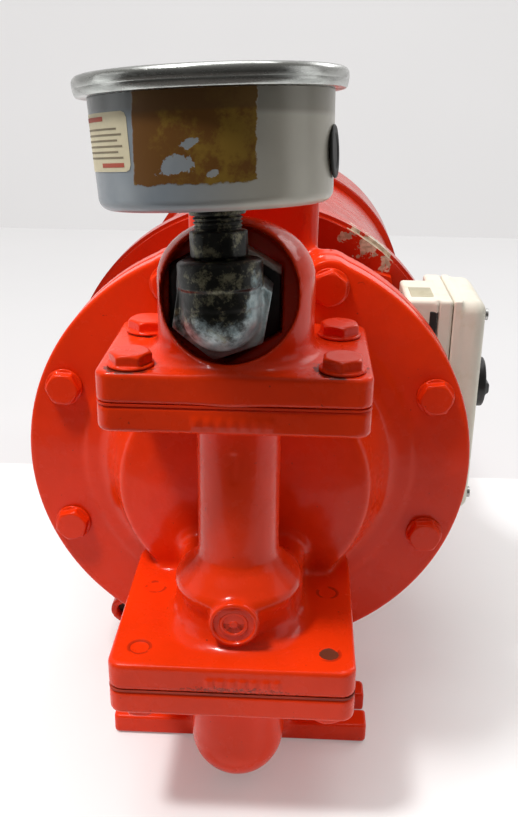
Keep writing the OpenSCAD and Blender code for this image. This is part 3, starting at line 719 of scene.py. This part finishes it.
LABEL = plain("cream_label", (0.70, 0.62, 0.42), 0.5, 0.15, 0.1, 200, 0.3, (0.35, 0.22, 0.10))
GALVANISED = galvanised()
GLASS = clear_glass()

BY_SLOT = {
    "red_enamel": RED, "gasket": GASKET, "steel": STEEL, "bearing_steel": BRIGHT, "bronze": BRONZE,
    "seal_rubber": RUBBER, "ceramic": CERAMIC, "laminations": LAMINATION, "copper_winding": COPPER,
    "cream_plastic": CREAM, "black_plastic": BLACK, "rusty_iron": RUST, "galvanised": GALVANISED,
    "gauge_paint": RED, "bezel_steel": CHROME, "clear_glass": GLASS, "dial_white": DIAL,
}

# ---- castings


def notched_disc(g, start, end, edge):
    """The round flange, cut back at the top between two bolts, with lobes around them."""
    across = np.hypot(g.x, g.z - SHAFT_Z) - FLANGE_R
    lobe_x, lobe_z = around_shaft(BOLT_CIRCLE, 67.5)
    gap = np.maximum(np.abs(g.x) - lobe_x, SHAFT_Z + 92 - g.z)
    across = carve(across, gap, 6)
    for side in (-1, 1):
        across = np.minimum(across, np.hypot(g.x - side * lobe_x, g.z - lobe_z) - 14.5)
    return edged(across, g.y, start, end, edge)


def lipped_plate(g, outline, start, end, joint):
    """A square flange, well rounded outside and filled with paint near its joint face (1 upper, -1 lower)."""
    centre, size = outline
    plate = oval_plate(g, centre, size, 7, start, end, 1.9)
    middle = (start + end) / 2
    inner = (size[0] - 1, size[1] - 1)
    low, high = (middle, end) if joint > 0 else (start, middle)
    return np.minimum(plate, oval_plate(g, centre, inner, 6.5, low, high, 0.5))


def corners(places):
    """X and Y of a flange pair's four bolts."""
    return [(x, y) for x in (-places[0], places[0]) for y in places[1]]


def corner_holes(g, values, places, radius, low, high):
    """Four upright holes at a flange pair's bolts."""
    return carved(values, 0.5, *(rod(g, "z", place, radius, low, high) for place in corners(places)))


def suction_cover():
    """The big front casting: round flange, domed boss, riser, lower boss and both square flanges."""
    g = grid_of("suction_cover", 1.2)
    boss = turned_field(g, "y", (0, SHAFT_Z), [
        (0, -12), (93, -12), (91, 0), (84, 1.6), (79.5, 5), (76, 10.5), (72.8, 18), (70, 26),
        (67.6, 32.8), (66.4, 34.8), (64, 35.8), (52, 37.7), (34, 39.3), (0, 40)], -1, FLANGE_Y)
    body = melt(notched_disc(g, FLANGE_Y, COVER_BACK, 1.6), boss, 5)
    column = turned_field(g, "z", (0, RISER_Y), [
        (0, 84), (33, 84), (33, 97), (30.6, 101), (28.8, 106), (28.3, 111), (29.2, 115), (31, 118.6),
        (31.7, 121.5), (30.6, 124.6), (26, 129.8), (22.2, 133.8), (20.2, 137), (19.8, 142),
        (19.8, 214), (0, 214)])
    neck = block(g, (-32.5, RISER_Y, 84), (32.5, FLANGE_Y + 1, 122), 9)
    body = melt(body, melt(column, neck, 6), 7)
    low_plate = lipped_plate(g, LOWER_PLATE, FOOT_JOINT, FOOT_TOP, -1)
    high_plate = lipped_plate(g, UPPER_PLATE, RISER_FLANGE, RISER_JOINT, 1)
    body = melt(body, low_plate, 6)
    body = melt(body, high_plate, 4.5)
    crest = slanted(g, (0, -60, 114), (0, -1, 0), 11.6, -8, 15, 0.6)
    body = melt(body, crest, 2.5)
    for i in range(7):
        x = -18.5 + 5.3 * i
        body = melt(body, block(g, (x, -75.9, 214.6), (x + 3.8, -73, 219.9), 0.8), 0.8)
        body = melt(body, block(g, (x + 6, -88.2, 86.4), (x + 9.8, -86, 91.6), 0.8), 0.8)
    slot = block(g, (-3, -70, 182), (0.4, -62.1, 197), 0.8)
    inner = turned_field(g, "y", (0, SHAFT_Z), [
        (0, 1), (78, 1), (68, 13), (61, 28), (46, 32), (0, 33)], -1, FLANGE_Y + 5)
    eye = rod(g, "y", (0, SHAFT_Z), 34, FLANGE_Y - 2, COVER_BACK + 8)
    well = rod(g, "z", (0, RISER_Y), 19, 40, 124)
    bore = rod(g, "z", (0, RISER_Y), 14, 110, 240)
    passage = rod(g, "y", (0, 104), 17, RISER_Y, 24)
    body = carved(body, 0.8, slot, inner, eye, well, bore, passage)
    body = carve(body, block(g, (-120, -100, 0), (120, 22.5, 83), 0.1), 0.4)
    body = carved(body, 0.4, *(rod(g, "y", around_shaft(BOLT_CIRCLE, a), 5.4, 30, 70) for a in BOLT_ANGLES))
    body = corner_holes(g, body, UPPER_BOLTS, 5, 205, 230)
    body = corner_holes(g, body, LOWER_BOLTS, 5, 75, FOOT_TOP - 0.9)
    body = corner_holes(g, body, LOWER_BOLTS, 4.7, FOOT_TOP - 0.5, 100)
    cast("suction_cover_casting", g, body, RED_COVER, "suction_cover")
    medallion()


def medallion():
    """The round boss on the front of the lower column, with a raised rim and a plain ring and dot inside."""
    disc = [(0, -3), (11.8, -3), (12, 0.4), (11.6, 1.1), (11, 1.4), (10.2, 1.3), (9.8, 0.8), (9.6, 0.1)]
    disc += [(7, 0.0), (6.6, 0.5), (5.4, 0.5), (5, 0.0), (2, 0.0), (1.6, 0.5), (0, 0.6)]
    place(turned("disc", disc, at(0, -75, 114, turn("X", 90)), 96), RED_BOLT)


def mouth_hex(g, half_width, start, end, edge, angle=0):
    """A six-sided bar along Y on the mouth's axis."""
    return slanted(g, (MOUTH[0], 0, MOUTH[1]), (0, 1, 0), half_width, start, end, edge, 6, angle)


def inlet_head():
    """The domed inlet elbow on its square flange, with a tilted open mouth."""
    g = grid_of("inlet_head", 0.9)
    plate = lipped_plate(g, UPPER_PLATE, HEAD_JOINT, HEAD_TOP, -1)
    dome = turned_field(g, "z", (-2, -34), [
        (0, 226), (36.6, 226), (36.6, 238), (36.2, 243), (36, 250)]
        + [(36 * cos(radians(a)), 272 + 27 * sin(radians(a))) for a in range(0, 91, 9)])
    body = melt(plate, dome, 8)
    tilt = radians(17)
    mouth = (0, -cos(tilt), sin(tilt))
    body = carve(body, slanted(g, (-4, -64, 272.8), mouth, 30.7, -26.8, 50), 1.2)
    body = carve(body, mouth_hex(g, 25.8, -51.5, -33.3, 0.3), 0.3)
    body = carve(body, rod(g, "y", MOUTH, 19.1, -36, -6.6), 0.3)
    body = carve(body, rod(g, "z", (0, -12), 9, 220, 264), 0.3)
    body = corner_holes(g, body, UPPER_BOLTS, 5.4, 220, 245)
    cast("inlet_head_casting", g, body, RED_HEAD, "inlet_head")


def sump():
    """The sump bowl under the lower square flange, with the pump foot behind it."""
    g = grid_of("sump_casting", 1.2)
    body = lipped_plate(g, LOWER_PLATE, SUMP_FLANGE, SUMP_JOINT, 1)
    bowl = melt(rod(g, "z", (0, RISER_Y), 24.4, 27, 70), ball(g, (0, RISER_Y, 27), 24.4), 0.5)
    body = melt(body, bowl, 6)
    web = block(g, (-26, -24, 6), (26, 14, 74), 4)
    foot = oval_plate(g, (PLATE_X, -0.5), (144, 41), 3, 0, 11.6, 1.3)
    for side in (-1, 1):
        slot_end = rod(g, "z", (side * 60, 0), 6.5, -5, 20)
        run = block(g, (min(side * 60, side * 80), -6.5, -5), (max(side * 60, side * 80), 6.5, 20), 0.1)
        foot = carve(foot, np.minimum(slot_end, run), 1.2)
    body = melt(body, melt(web, foot, 6), 6)
    body = carve(body, melt(rod(g, "z", (0, RISER_Y), 18.4, 27, 110), ball(g, (0, RISER_Y, 27), 18.4), 0.5))
    body = corner_holes(g, body, LOWER_BOLTS, 5.4, 60, 90)
    body = np.maximum(body, -g.z)
    cast("sump_casting_shape", g, body, RED, "sump_casting")


def volute():
    """The pump casing: flange, drum, discharge column and drain boss."""
    g = grid_of("volute_casing", 1.5)
    body = notched_disc(g, CASE_Y, CASE_Y + 14, 1.6)
    body = melt(body, rod(g, "y", (0, SHAFT_Z), 100, CASE_Y + 6, 141, 1.2), 8)
    column = block(g, (-36, 62.5, 225), (36, 112, 312), 9)
    collar = rod(g, "z", (0, 87), 38, 293, 333, 1.6)
    column = melt(column, collar, 5)
    body = melt(body, column, 10)
    body = melt(body, block(g, (78, 92, 126), (101, 122, 170), 1.5), 4)
    drain = rod(g, "y", DRAIN, 9, CASE_Y + 13, CASE_Y + 37, 0.8)
    rib = slanted(g, (0, CASE_Y + 25, SHAFT_Z), (-0.5736, 0, -0.8192), 6.2, 90, 143, 1)
    body = melt(body, melt(drain, rib, 3), 5)
    chamber = rod(g, "y", (0, SHAFT_Z), 88, CASE_Y - 6, 131)
    window = rod(g, "y", (0, SHAFT_Z), 62, 125, 150)
    outlet = rod(g, "z", (0, 87), 22, 220, 320)
    body = carved(body, 0.8, chamber, window, outlet)
    body = carve(body, rod(g, "z", (0, 87), 29.8, 308, 345), 0.5)
    body = carve(body, rod(g, "y", DRAIN, 5, CASE_Y + 12, CASE_Y + 30), 0.3)
    body = carved(body, 0.3, *(rod(g, "y", around_shaft(BOLT_CIRCLE, a), 5.0, 50, 80) for a in BOLT_ANGLES))
    for a in (45, 135, 225, 315):
        body = carve(body, rod(g, "y", around_shaft(107.5, a), 12, 132.5, 150), 1)
    cast("volute_casing_shape", g, body, RED_REAR, "volute_casing")


suction_cover()
inlet_head()
sump()
volute()

# ---- bolts

HEX = 17.0
HEAD_H = 5.0


def hex_bolt(shank):
    """One hexagon bolt, head up, standing on its seat at z = 0; thick paint softens its edges."""
    g = Grid((-11, -11, -shank), (11, 11, 9), 0.55, 1.5)
    seat = 1.6
    head = slanted(g, (0, 0, seat), (0, 0, 1), HEX / 2, 0, HEAD_H, 0.55, 6)
    crown = turned_field(g, "z", (0, 0), [
        (0, -1), (12, -1), (12, seat + HEAD_H - 2.6), (8.1, seat + HEAD_H), (0, seat + HEAD_H)])
    body = np.maximum(head, crown)
    body = melt(body, rod(g, "z", (0, 0), 10.5, 0, seat, 0.5), 0.9)
    body = melt(body, rod(g, "z", (0, 0), 4.9, -shank, seat + 2), 0.2)
    return solid("bolt", g, body)


def bolts():
    front = []
    for i, a in enumerate(BOLT_ANGLES):
        x, z = around_shaft(BOLT_CIRCLE, a)
        front.append(at(x, FLANGE_Y, z, turn("X", 90) @ turn("Z", 17 * i + 6)))
    place(copies("cover_bolts_painted", hex_bolt(24), front), RED_BOLT, "cover_bolts", "cover_washers")
    top = [at(x, y, HEAD_TOP, turn("Z", 13 * n)) for n, (x, y) in enumerate(corners(UPPER_BOLTS))]
    place(copies("inlet_bolts_painted", hex_bolt(26), top), RED_BOLT, "inlet_bolts")
    under = []
    for n, (x, y) in enumerate(corners(LOWER_BOLTS)):
        under.append(at(x, y, SUMP_FLANGE, turn("X", 180) @ turn("Z", 21 * n)))
    place(copies("sump_bolts_painted", hex_bolt(27.2), under), RED_BOLT, "sump_bolts")


bolts()

# ---- starter box


KNOB = (107, 174)
BOX_LOW, BOX_HIGH, BOX_PART, BOX_OUT = 98.2, 233.5, 115.0, 134.5


def starter_base():
    """The starter's cream plastic base, with its cable entry."""
    g = grid_of("starter_base", 0.8)
    base = block(g, (104, 75, BOX_LOW), (BOX_PART - 0.3, 139, BOX_HIGH), 2)
    body = melt(base, block(g, (88, 75, 210), (107, 123, BOX_HIGH), 2), 2)
    inside = block(g, (107, 79, BOX_LOW + 4), (125, 135, BOX_HIGH - 4), 1)
    body = carved(body, 0.4, inside, block(g, (91, 91, 213), (111, 119, 230.5), 1))
    body = carve(body, rod(g, "x", (105, 221), 6, 80, 94), 0.3)
    body = carved(body, 0.2, *(rod(g, "x", (107, z), 2.5, 90, 110) for z in (134, 162)))
    upright = block(g, (106.2, 72, 200), (107, 75.9, 240), 0.1)
    body = carved(body, 0.1, upright, block(g, (86, 72, 232.1), (106.6, 75.7, 232.9), 0.1))
    cast("starter_base_shell", g, body, CREAM, "starter_base")


def starter_cover():
    """The starter's cover, soft at its outer corners and square at the parting line."""
    g = grid_of("starter_cover", 0.8)
    body = block(g, (BOX_PART + 0.1, 75, BOX_LOW), (BOX_OUT, 139, BOX_HIGH), 8)
    rim = block(g, (BOX_PART + 0.1, 75, BOX_LOW), (BOX_PART + 5, 139, BOX_HIGH), 1.2)
    body = melt(body, rim, 3)
    inside = block(g, (100, 79, BOX_LOW + 4), (BOX_OUT - 3, 135, BOX_HIGH - 4), 2)
    body = carved(body, 0.4, inside, rod(g, "x", KNOB, 5, 100, 150))
    body = carved(body, 0.3, *(rod(g, "x", (85, z), 1.9, 100, 150) for z in (BOX_LOW + 10, BOX_HIGH - 10)))
    cast("starter_cover_shell", g, body, CREAM, "starter_cover")


def entry_and_sticker():
    """A black rubber block in the cable entry that stands for the shade in the gap there, and the old sticker on
    top.
    """
    g = Grid((100, 74, 199), (108, 78, 230), 0.5, 1)
    # Painted shade: a black block set where the gap by the cable entry lies in shade.
    cast("starter_entry_shade_block", g, block(g, (101.4, 74.6, 210.4), (106.3, 77, 227.2), 0.6), RUBBER)
    g = Grid((90, 82, 233), (106, 110, 234), 0.4, 1)
    cast("starter_sticker", g, block(g, (91, 83, 233.3), (105, 104, 233.75), 0.12), LABEL_OLD)


def knob():
    """Round switch knob with a finger grip and a white pointer mark."""
    low, high = mm("switch_knob")
    g = Grid(low, high, 0.7, 1.5)
    face = low[0] + 18
    disc = rod(g, "x", KNOB, 15.3, face + 0.4, face + 7, 1.2)
    grip = np.maximum(block(g, (face + 5, 93, 170.5), (high[0] - 1.6, 121, 177.5), 1.6),
                      rod(g, "x", KNOB, 14, 130, high[0] - 1.6, 1))
    body = melt(disc, grip, 1.5)
    body = melt(body, rod(g, "x", KNOB, 3.4, low[0] + 0.1, face + 2), 0.2)
    cast("switch_knob_shape", g, body, BLACK, "switch_knob", body="knob")
    g = Grid((139, 106, 177), (high[0], 108, 188), 0.3, 0.8)
    mark = block(g, (face + 6.8, 106.4, 179), (face + 7.3, 107.6, 188), 0.2)
    cast("switch_knob_mark", g, mark, DIAL, body="knob")


starter_base()
starter_cover()
entry_and_sticker()
knob()

# ---- gauge and fittings

needle = next(j for j in frame["joints"] if j["name"] == "gauge_needle")
AXIS = -Vector(needle["axis"]).normalized()
GAUGE_H = 43.8
POINTER_H = GAUGE_H - 2.4
BACK = Vector(needle["pos_m"]) - AXIS * POINTER_H * MM
GAUGE = Matrix.Translation(BACK) @ turn("Y", -3.2) @ turn("X", -6.5)
PLUG_TURN = -8.5
PLUG_H = 19.8


def gauge():
    case = [(10.3, 0), (43, 0)] + arc(43.2, 5.2, 5.2, -84, -4, 8)
    case += [(50, GAUGE_H - 0.1), (47.6, GAUGE_H - 0.1), (46, 6), (43, 2.6), (10.3, 2.6)]
    place(turned("gauge_case_shell", case, GAUGE), gauge_paint(), "gauge_case")
    r, h = 55.6, GAUGE_H
    bezel = [(46, h), (53.4, h), (54.3, h + 0.2), (54.8, h + 0.8), (55.1, h + 1.8)]
    bezel += [(55.4, h + 2.8), (55.3, h + 3.2), (r - 0.1, h + 3.6), (r, h + 4.8)]
    bezel += arc(r - 2.6, h + 5.6, 2.6, 0, 80, 6)
    bezel += [(51, h + 8.4)] + arc(50.2, h + 7.4, 1, 90, 180, 4) + [(48.4, h + 7), (47, h + 6.6)]
    bezel += [(51.4, h + 6.6), (51.4, h + 2.6), (46, h + 2.6)]
    place(turned("gauge_bezel_ring", bezel, GAUGE), CHROME, "gauge_bezel")
    glass = [(0, h + 3.4), (50.9, h + 3.4), (50.9, h + 5.8), (0, h + 6.1)]
    place(turned("gauge_lens", glass, GAUGE), GLASS, "gauge_glass")
    dial = [(4, h - 5), (46.6, h - 5), (46.8, h - 4.4), (46.6, h - 3.8), (4, h - 3.8)]
    place(turned("gauge_dial_plate", dial, GAUGE), DIAL, "gauge_dial")
    dial_marks(h - 3.8)
    pointer()
    plug = [(0, 5), (10, 5), (10.4, 5.3), (10.5, 5.8), (10, 6.2), (7.4, 6.2), (6.8, 5.7), (0, 5.7)]
    stand = GAUGE @ turn("Z", PLUG_TURN) @ at(44, 0, PLUG_H, turn("Y", 90))
    place(turned("blowout_plug_disc", plug, stand, 64), RUBBER, "blowout_plug")
    label()


def flat_shape(name, outline, height, thick, matrix):
    """A thin flat piece from an outline in millimetres."""
    bm = bmesh.new()
    low = [bm.verts.new((x * MM, y * MM, height * MM)) for x, y in outline]
    top = [bm.verts.new((x * MM, y * MM, (height + thick) * MM)) for x, y in outline]
    bm.faces.new(low[::-1])
    bm.faces.new(top)
    for i in range(len(outline)):
        j = (i + 1) % len(outline)
        bm.faces.new((low[i], low[j], top[j], top[i]))
    return linked(name, from_bmesh(name, bm, matrix))


def dial_marks(face):
    """Scale marks around 270 degrees of the dial, and plain numbers at the long ones."""
    marks = []
    for i in range(51):
        long = i % 10 == 0
        r1 = 35.5 if long else 38.5 if i % 5 == 0 else 39.8
        half = 0.45 if long else 0.2
        a = 225 - 5.4 * i
        outline = [(r1, -half), (42, -half), (42, half), (r1, half)]
        marks.append(flat_shape("mark", outline, face, 0.12, GAUGE @ turn("Z", a)))
    band = [(43, face), (43.5, face), (43.5, face + 0.12), (43, face + 0.12)]
    marks.append(turned("band", band, GAUGE, 128))
    for i in range(6):
        a = radians(225 - 54 * i)
        curve = bpy.data.curves.new("number", "FONT")
        curve.body = str(2 * i)
        curve.size = 0.0062
        curve.align_x = "CENTER"
        curve.align_y = "CENTER"
        curve.extrude = 0.00006
        text = linked("number", curve)
        bpy.context.view_layer.update()
        shape = bpy.data.meshes.new_from_object(text.evaluated_get(bpy.context.evaluated_depsgraph_get()))
        bpy.data.objects.remove(text)
        shape.transform(GAUGE @ at(30 * cos(a), 30 * sin(a), face + 0.06))
        marks.append(linked("number_mesh", shape))
    place(joined("gauge_dial_marks", marks), BLACK)


def pointer():
    h = POINTER_H
    rise = [(0, h - 0.7), (4.2, h - 0.7), (4.4, h - 0.4), (4.4, h + 1.4), (3.8, h + 2), (0, h + 2)]
    hub = turned("hub", rise, GAUGE, 48)
    outline = [(-14, -2.2), (4, -1.5), (30, -0.9), (38, 0.0), (30, 0.9), (4, 1.5), (-14, 2.2)]
    hand = flat_shape("hand", outline, h, 0.8, GAUGE @ turn("Z", 225))
    place(joined("gauge_pointer_hand", [hub, hand]), BLACK, "gauge_pointer", body="pointer")


def case_patch(name, first, last, low, high, lift, corner=0.0):
    """A thin patch on the side of the gauge case between two azimuths; corner rounds its last end."""
    bm = bmesh.new()
    columns = 20
    rows = [(low, corner), (low + 0.3 * corner, 0.3 * corner), (low + corner, 0), (high - corner, 0),
            (high - 0.3 * corner, 0.3 * corner), (high, corner)]
    grid = []
    for z, inset in rows:
        r = 48.5 + 1.5 * max(z - 5.2, 0) / (GAUGE_H - 5.2) + lift
        end = last - degrees(inset / r)
        angles = [radians(first + (end - first) * i / columns) for i in range(columns + 1)]
        grid.append([bm.verts.new((r * MM * cos(a), r * MM * sin(a), z * MM)) for a in angles])
    for one, two in zip(grid, grid[1:]):
        for i in range(columns):
            bm.faces.new((one[i], one[i + 1], two[i + 1], two[i]))
    return linked(name, from_bmesh(name, bm, GAUGE))


def label():
    """The worn paper label on the left of the gauge case, with blank printed bars."""
    place(case_patch("gauge_label_paper", 188, 236, 15.6, 37.4, 0.12, 2.5), LABEL)
    red = [case_patch("bar", 192, 219, 34.2, 35.9, 0.2), case_patch("bar", 214, 232, 17.2, 18.8, 0.2)]
    place(joined("gauge_label_red_bars", red), plain("label_red", (0.50, 0.09, 0.05), 0.6, 0.3))
    dark = [case_patch("bar", 192, 232 - 3 * (i % 2), 20.4 + 2.1 * i, 21.1 + 2.1 * i, 0.2) for i in range(6)]
    place(joined("gauge_label_dark_bars", dark), plain("label_ink", (0.26, 0.21, 0.13), 0.6, 0.4))


def below(g, *size):
    """A bar on the gauge's axis, measured down from the back of its case."""
    return slanted(g, np.array(BACK) / MM, -AXIS, *size)


def elbow():
    """Galvanised elbow under the gauge."""
    g = grid_of("gauge_elbow", 0.55)
    body = melt(ball(g, (MOUTH[0], -62, MOUTH[1]), 17.1), below(g, 17.1, 22.2, 42.2, 1), 1.5)
    body = melt(body, below(g, 18.3, 22.8, 34.2, 1.2), 0.8)
    crown = turned_field(g, "y", MOUTH, [
        (0, -41.6), (21.6, -41.6), (23.2, -43.5), (23.2, -59.4), (21, -61), (0, -61)])
    body = melt(body, np.maximum(mouth_hex(g, 20.1, -61, -41.6, 0.8, 9), crown), 3)
    body = melt(body, rod(g, "y", MOUTH, 12, -45, -22.6, 0.5), 0.5)
    body = carve(body, below(g, 8.1, 14, 34), 0.4)
    cast("gauge_elbow_fitting", g, body, GALVANISED, "gauge_elbow")


def stem():
    """The gauge's stem: collar, thread, hexagon and the end in the elbow."""
    g = grid_of("gauge_stem", 0.45, 1.5)
    body = melt(below(g, 10.1, -5.9, 3, 0.4), below(g, 11.9, 0.4, 3.8, 0.7), 0.3)
    body = melt(body, below(g, 9.6, 3, 11, 0.3), 0.3)
    for i in range(3):
        body = melt(body, below(g, 10.6 - 0.2 * i, 4.6 + 1.8 * i, 5.5 + 1.8 * i, 0.4), 0.4)
    wrench = np.maximum(below(g, 11.8, 10.1, 21.3, 0.6, 6, 10), below(g, 12.3, 10.1, 21.3, 1.2))
    body = melt(body, wrench, 0.8)
    body = melt(body, below(g, 7.9, 20, 32, 0.4), 0.3)
    cast("gauge_stem_fitting", g, body, GALVANISED, "gauge_stem")


def bushing():
    """The black bushing in the inlet mouth."""
    g = grid_of("port_bushing", 0.6)
    crown = turned_field(g, "y", MOUTH, [
        (0, -33.5), (30, -33.5), (30, -38.5), (26.6, -41.5), (0, -41.5)])
    body = np.maximum(mouth_hex(g, 25, -41.5, -33.5, 0.6), crown)
    body = melt(body, rod(g, "y", MOUTH, 19, -36, -13.6), 0.4)
    body = carve(body, rod(g, "y", MOUTH, 12, -60, 10), 0.4)
    cast("port_bushing_shape", g, body, bushing_iron(), "port_bushing")


gauge()
elbow()
stem()
bushing()

# ---- carried-over CAD pieces

OWN_MATERIAL = {"cover_gasket": SEAM, "inlet_gasket": SEAM, "sump_gasket": SEAM_DIRTY, "drain_plug": RUST}
# The motor pieces take the darker copy of the enamel that stands for their shade.
for motor_part in ("motor_flange", "motor_frame", "rear_shield", "fan_cowl", "motor_feet", "seal_plate"):
    OWN_MATERIAL[motor_part] = RED_MOTOR_SHADED
BEVEL = {
    "motor_flange": 1.5, "seal_plate": 1.2, "motor_frame": 0.5, "rear_shield": 1.0, "fan_cowl": 0.8,
    "motor_feet": 2.0, "adaptor_bolts": 0.6, "foot_bolts": 0.5, "cooling_fan": 0.4, "cable_gland": 0.4,
    "drain_plug": 0.8, "starter_bracket": 0.3, "shield_screws": 0.3, "cowl_screws": 0.3,
    "starter_screws": 0.3, "motor_shaft": 0.4, "impeller": 0.5, "impeller_nut": 0.5,
}


def dress():
    """Every CAD node that still shows gets its slot's material and softened edges."""
    for name, obj in NODES.items():
        if obj.hide_render:
            continue
        obj.data.materials.clear()
        obj.data.materials.append(OWN_MATERIAL.get(name, BY_SLOT[SLOTS[name]]))
        obj.data.shade_smooth()
        obj.data.set_sharp_from_angle(angle=radians(30))
        if name in BEVEL:
            bevel = obj.modifiers.new("soft_edges", "BEVEL")
            bevel.width = BEVEL[name] * MM
            bevel.segments = 2
            bevel.limit_method = "ANGLE"
            bevel.angle_limit = radians(40)
            bevel.harden_normals = True


dress()

# ---- stage, lights and camera


def plane(name, low, high, z, material):
    """A stage plane, level at height z."""
    mesh = bpy.data.meshes.new(name)
    outline = [(low[0], low[1], z), (high[0], low[1], z), (high[0], high[1], z), (low[0], high[1], z)]
    mesh.from_pydata(outline, [], [(0, 1, 2, 3)])
    mesh.materials.append(material)
    obj = linked(name, mesh)
    return obj


def stage():
    floor = floor_white()
    wall = backdrop()
    near, edge, wall_y = -0.30, 0.33, 1.4
    plane("floor", (-4, near), (4, edge), -0.0005, floor)
    shade = plain("floor_shade", (0.10, 0.09, 0.085), 0.8, 0.05, 0.05, 60)
    plane("floor_near", (-4, -4), (4, near), -0.0006, shade)
    plane("floor_far", (-4, edge), (4, wall_y), -0.0006, wall)
    back = plane("wall", (-4, -0.2), (4, 3.5), 0, wall)
    back.rotation_euler = (radians(90), 0, 0)
    back.location = (0, wall_y, 0)


def floor_white():
    s = Shader("floor_white")
    s.colour(s.mix(s.noise(6, 4), rgb(0.66, 0.68, 0.68), rgb(0.74, 0.74, 0.73)))
    s.set("Emission Color", rgb(0.96, 1.0, 1.0))
    s.set("Emission Strength", 0.2)
    s.set("Roughness", 0.4)
    return s.material


def backdrop():
    """An even light grey that hardly shades, for the ground behind the pump and the wall."""
    s = Shader("backdrop_grey")
    cloud = s.noise(3, 2)
    s.colour(s.mix(cloud, rgb(0.30, 0.30, 0.31), rgb(0.34, 0.34, 0.35)))
    s.set("Emission Color", rgb(0.95, 0.93, 0.91))
    s.set("Emission Strength", 0.5)
    s.set("Roughness", 0.9)
    return s.material


def area_light(name, where, target, size, power):
    data = bpy.data.lights.new(name, "AREA")
    data.shape = "RECTANGLE"
    data.size, data.size_y = size
    data.energy = power
    obj = linked(name, data)
    obj.location = where
    obj.rotation_euler = (Vector(target) - Vector(where)).to_track_quat("-Z", "Y").to_euler()


def lights():
    """Bright overhead light from the front, a dim world in front and a brighter one above and behind."""
    world = bpy.data.worlds.new("studio")
    bpy.context.scene.world = world
    world.use_nodes = True
    nodes, links = world.node_tree.nodes, world.node_tree.links
    ray = nodes.new("ShaderNodeTexCoord").outputs["Generated"]
    split = nodes.new("ShaderNodeSeparateXYZ")
    links.new(ray, split.inputs[0])
    total = nodes.new("ShaderNodeMath")
    for slot, (axis, *limits) in enumerate((("Z", 0.05, 0.9, 0.04, 0.28), ("Y", -0.1, 0.8, 0.0, 0.2))):
        ramp = nodes.new("ShaderNodeMapRange")
        links.new(split.outputs[axis], ramp.inputs["Value"])
        for key, value in zip(("From Min", "From Max", "To Min", "To Max"), limits):
            ramp.inputs[key].default_value = value
        links.new(ramp.outputs[0], total.inputs[slot])
    background = nodes["Background"]
    background.inputs[0].default_value = (1.0, 0.97, 0.92, 1.0)
    links.new(total.outputs[0], background.inputs[1])
    area_light("key", (-0.62, -0.45, 1.85), (0, 0, 0.2), (0.25, 0.25), 26)
    area_light("side_left", (-1.4, -0.1, 0.5), (0, 0, 0.2), (0.7, 1.0), 2)
    area_light("side_right", (1.4, -0.1, 0.5), (0, 0, 0.2), (0.7, 1.0), 2)
    area_light("top", (-0.1, 0.15, 1.6), (0, 0, 0.1), (1.3, 0.9), 12)
    area_light("rim", (0.9, 1.0, 1.1), (0.05, 0.1, 0.2), (0.8, 0.5), 4)
    bpy.context.scene.view_settings.view_transform = "Standard"


def camera():
    """The camera stands in front of the pump and looks down at it."""
    stand = (0.0273, -0.4541, 0.3783)
    yaw, pitch, roll = (radians(a) for a in (-2.5, 22.0, 0.7))
    ahead = Vector((sin(yaw) * cos(pitch), cos(yaw) * cos(pitch), -sin(pitch)))
    right = Vector((cos(yaw), -sin(yaw), 0))
    up = right.cross(ahead)
    side = right * cos(roll) + up * sin(roll)
    top = up * cos(roll) - right * sin(roll)
    data = bpy.data.cameras.new("camera")
    data.sensor_width = 36
    data.lens = 41.88
    obj = linked("camera", data)
    obj.matrix_world = Matrix([(side[i], top[i], -ahead[i], stand[i]) for i in range(3)] + [(0, 0, 0, 1)])
    bpy.context.scene.camera = obj


stage()
lights()
camera()
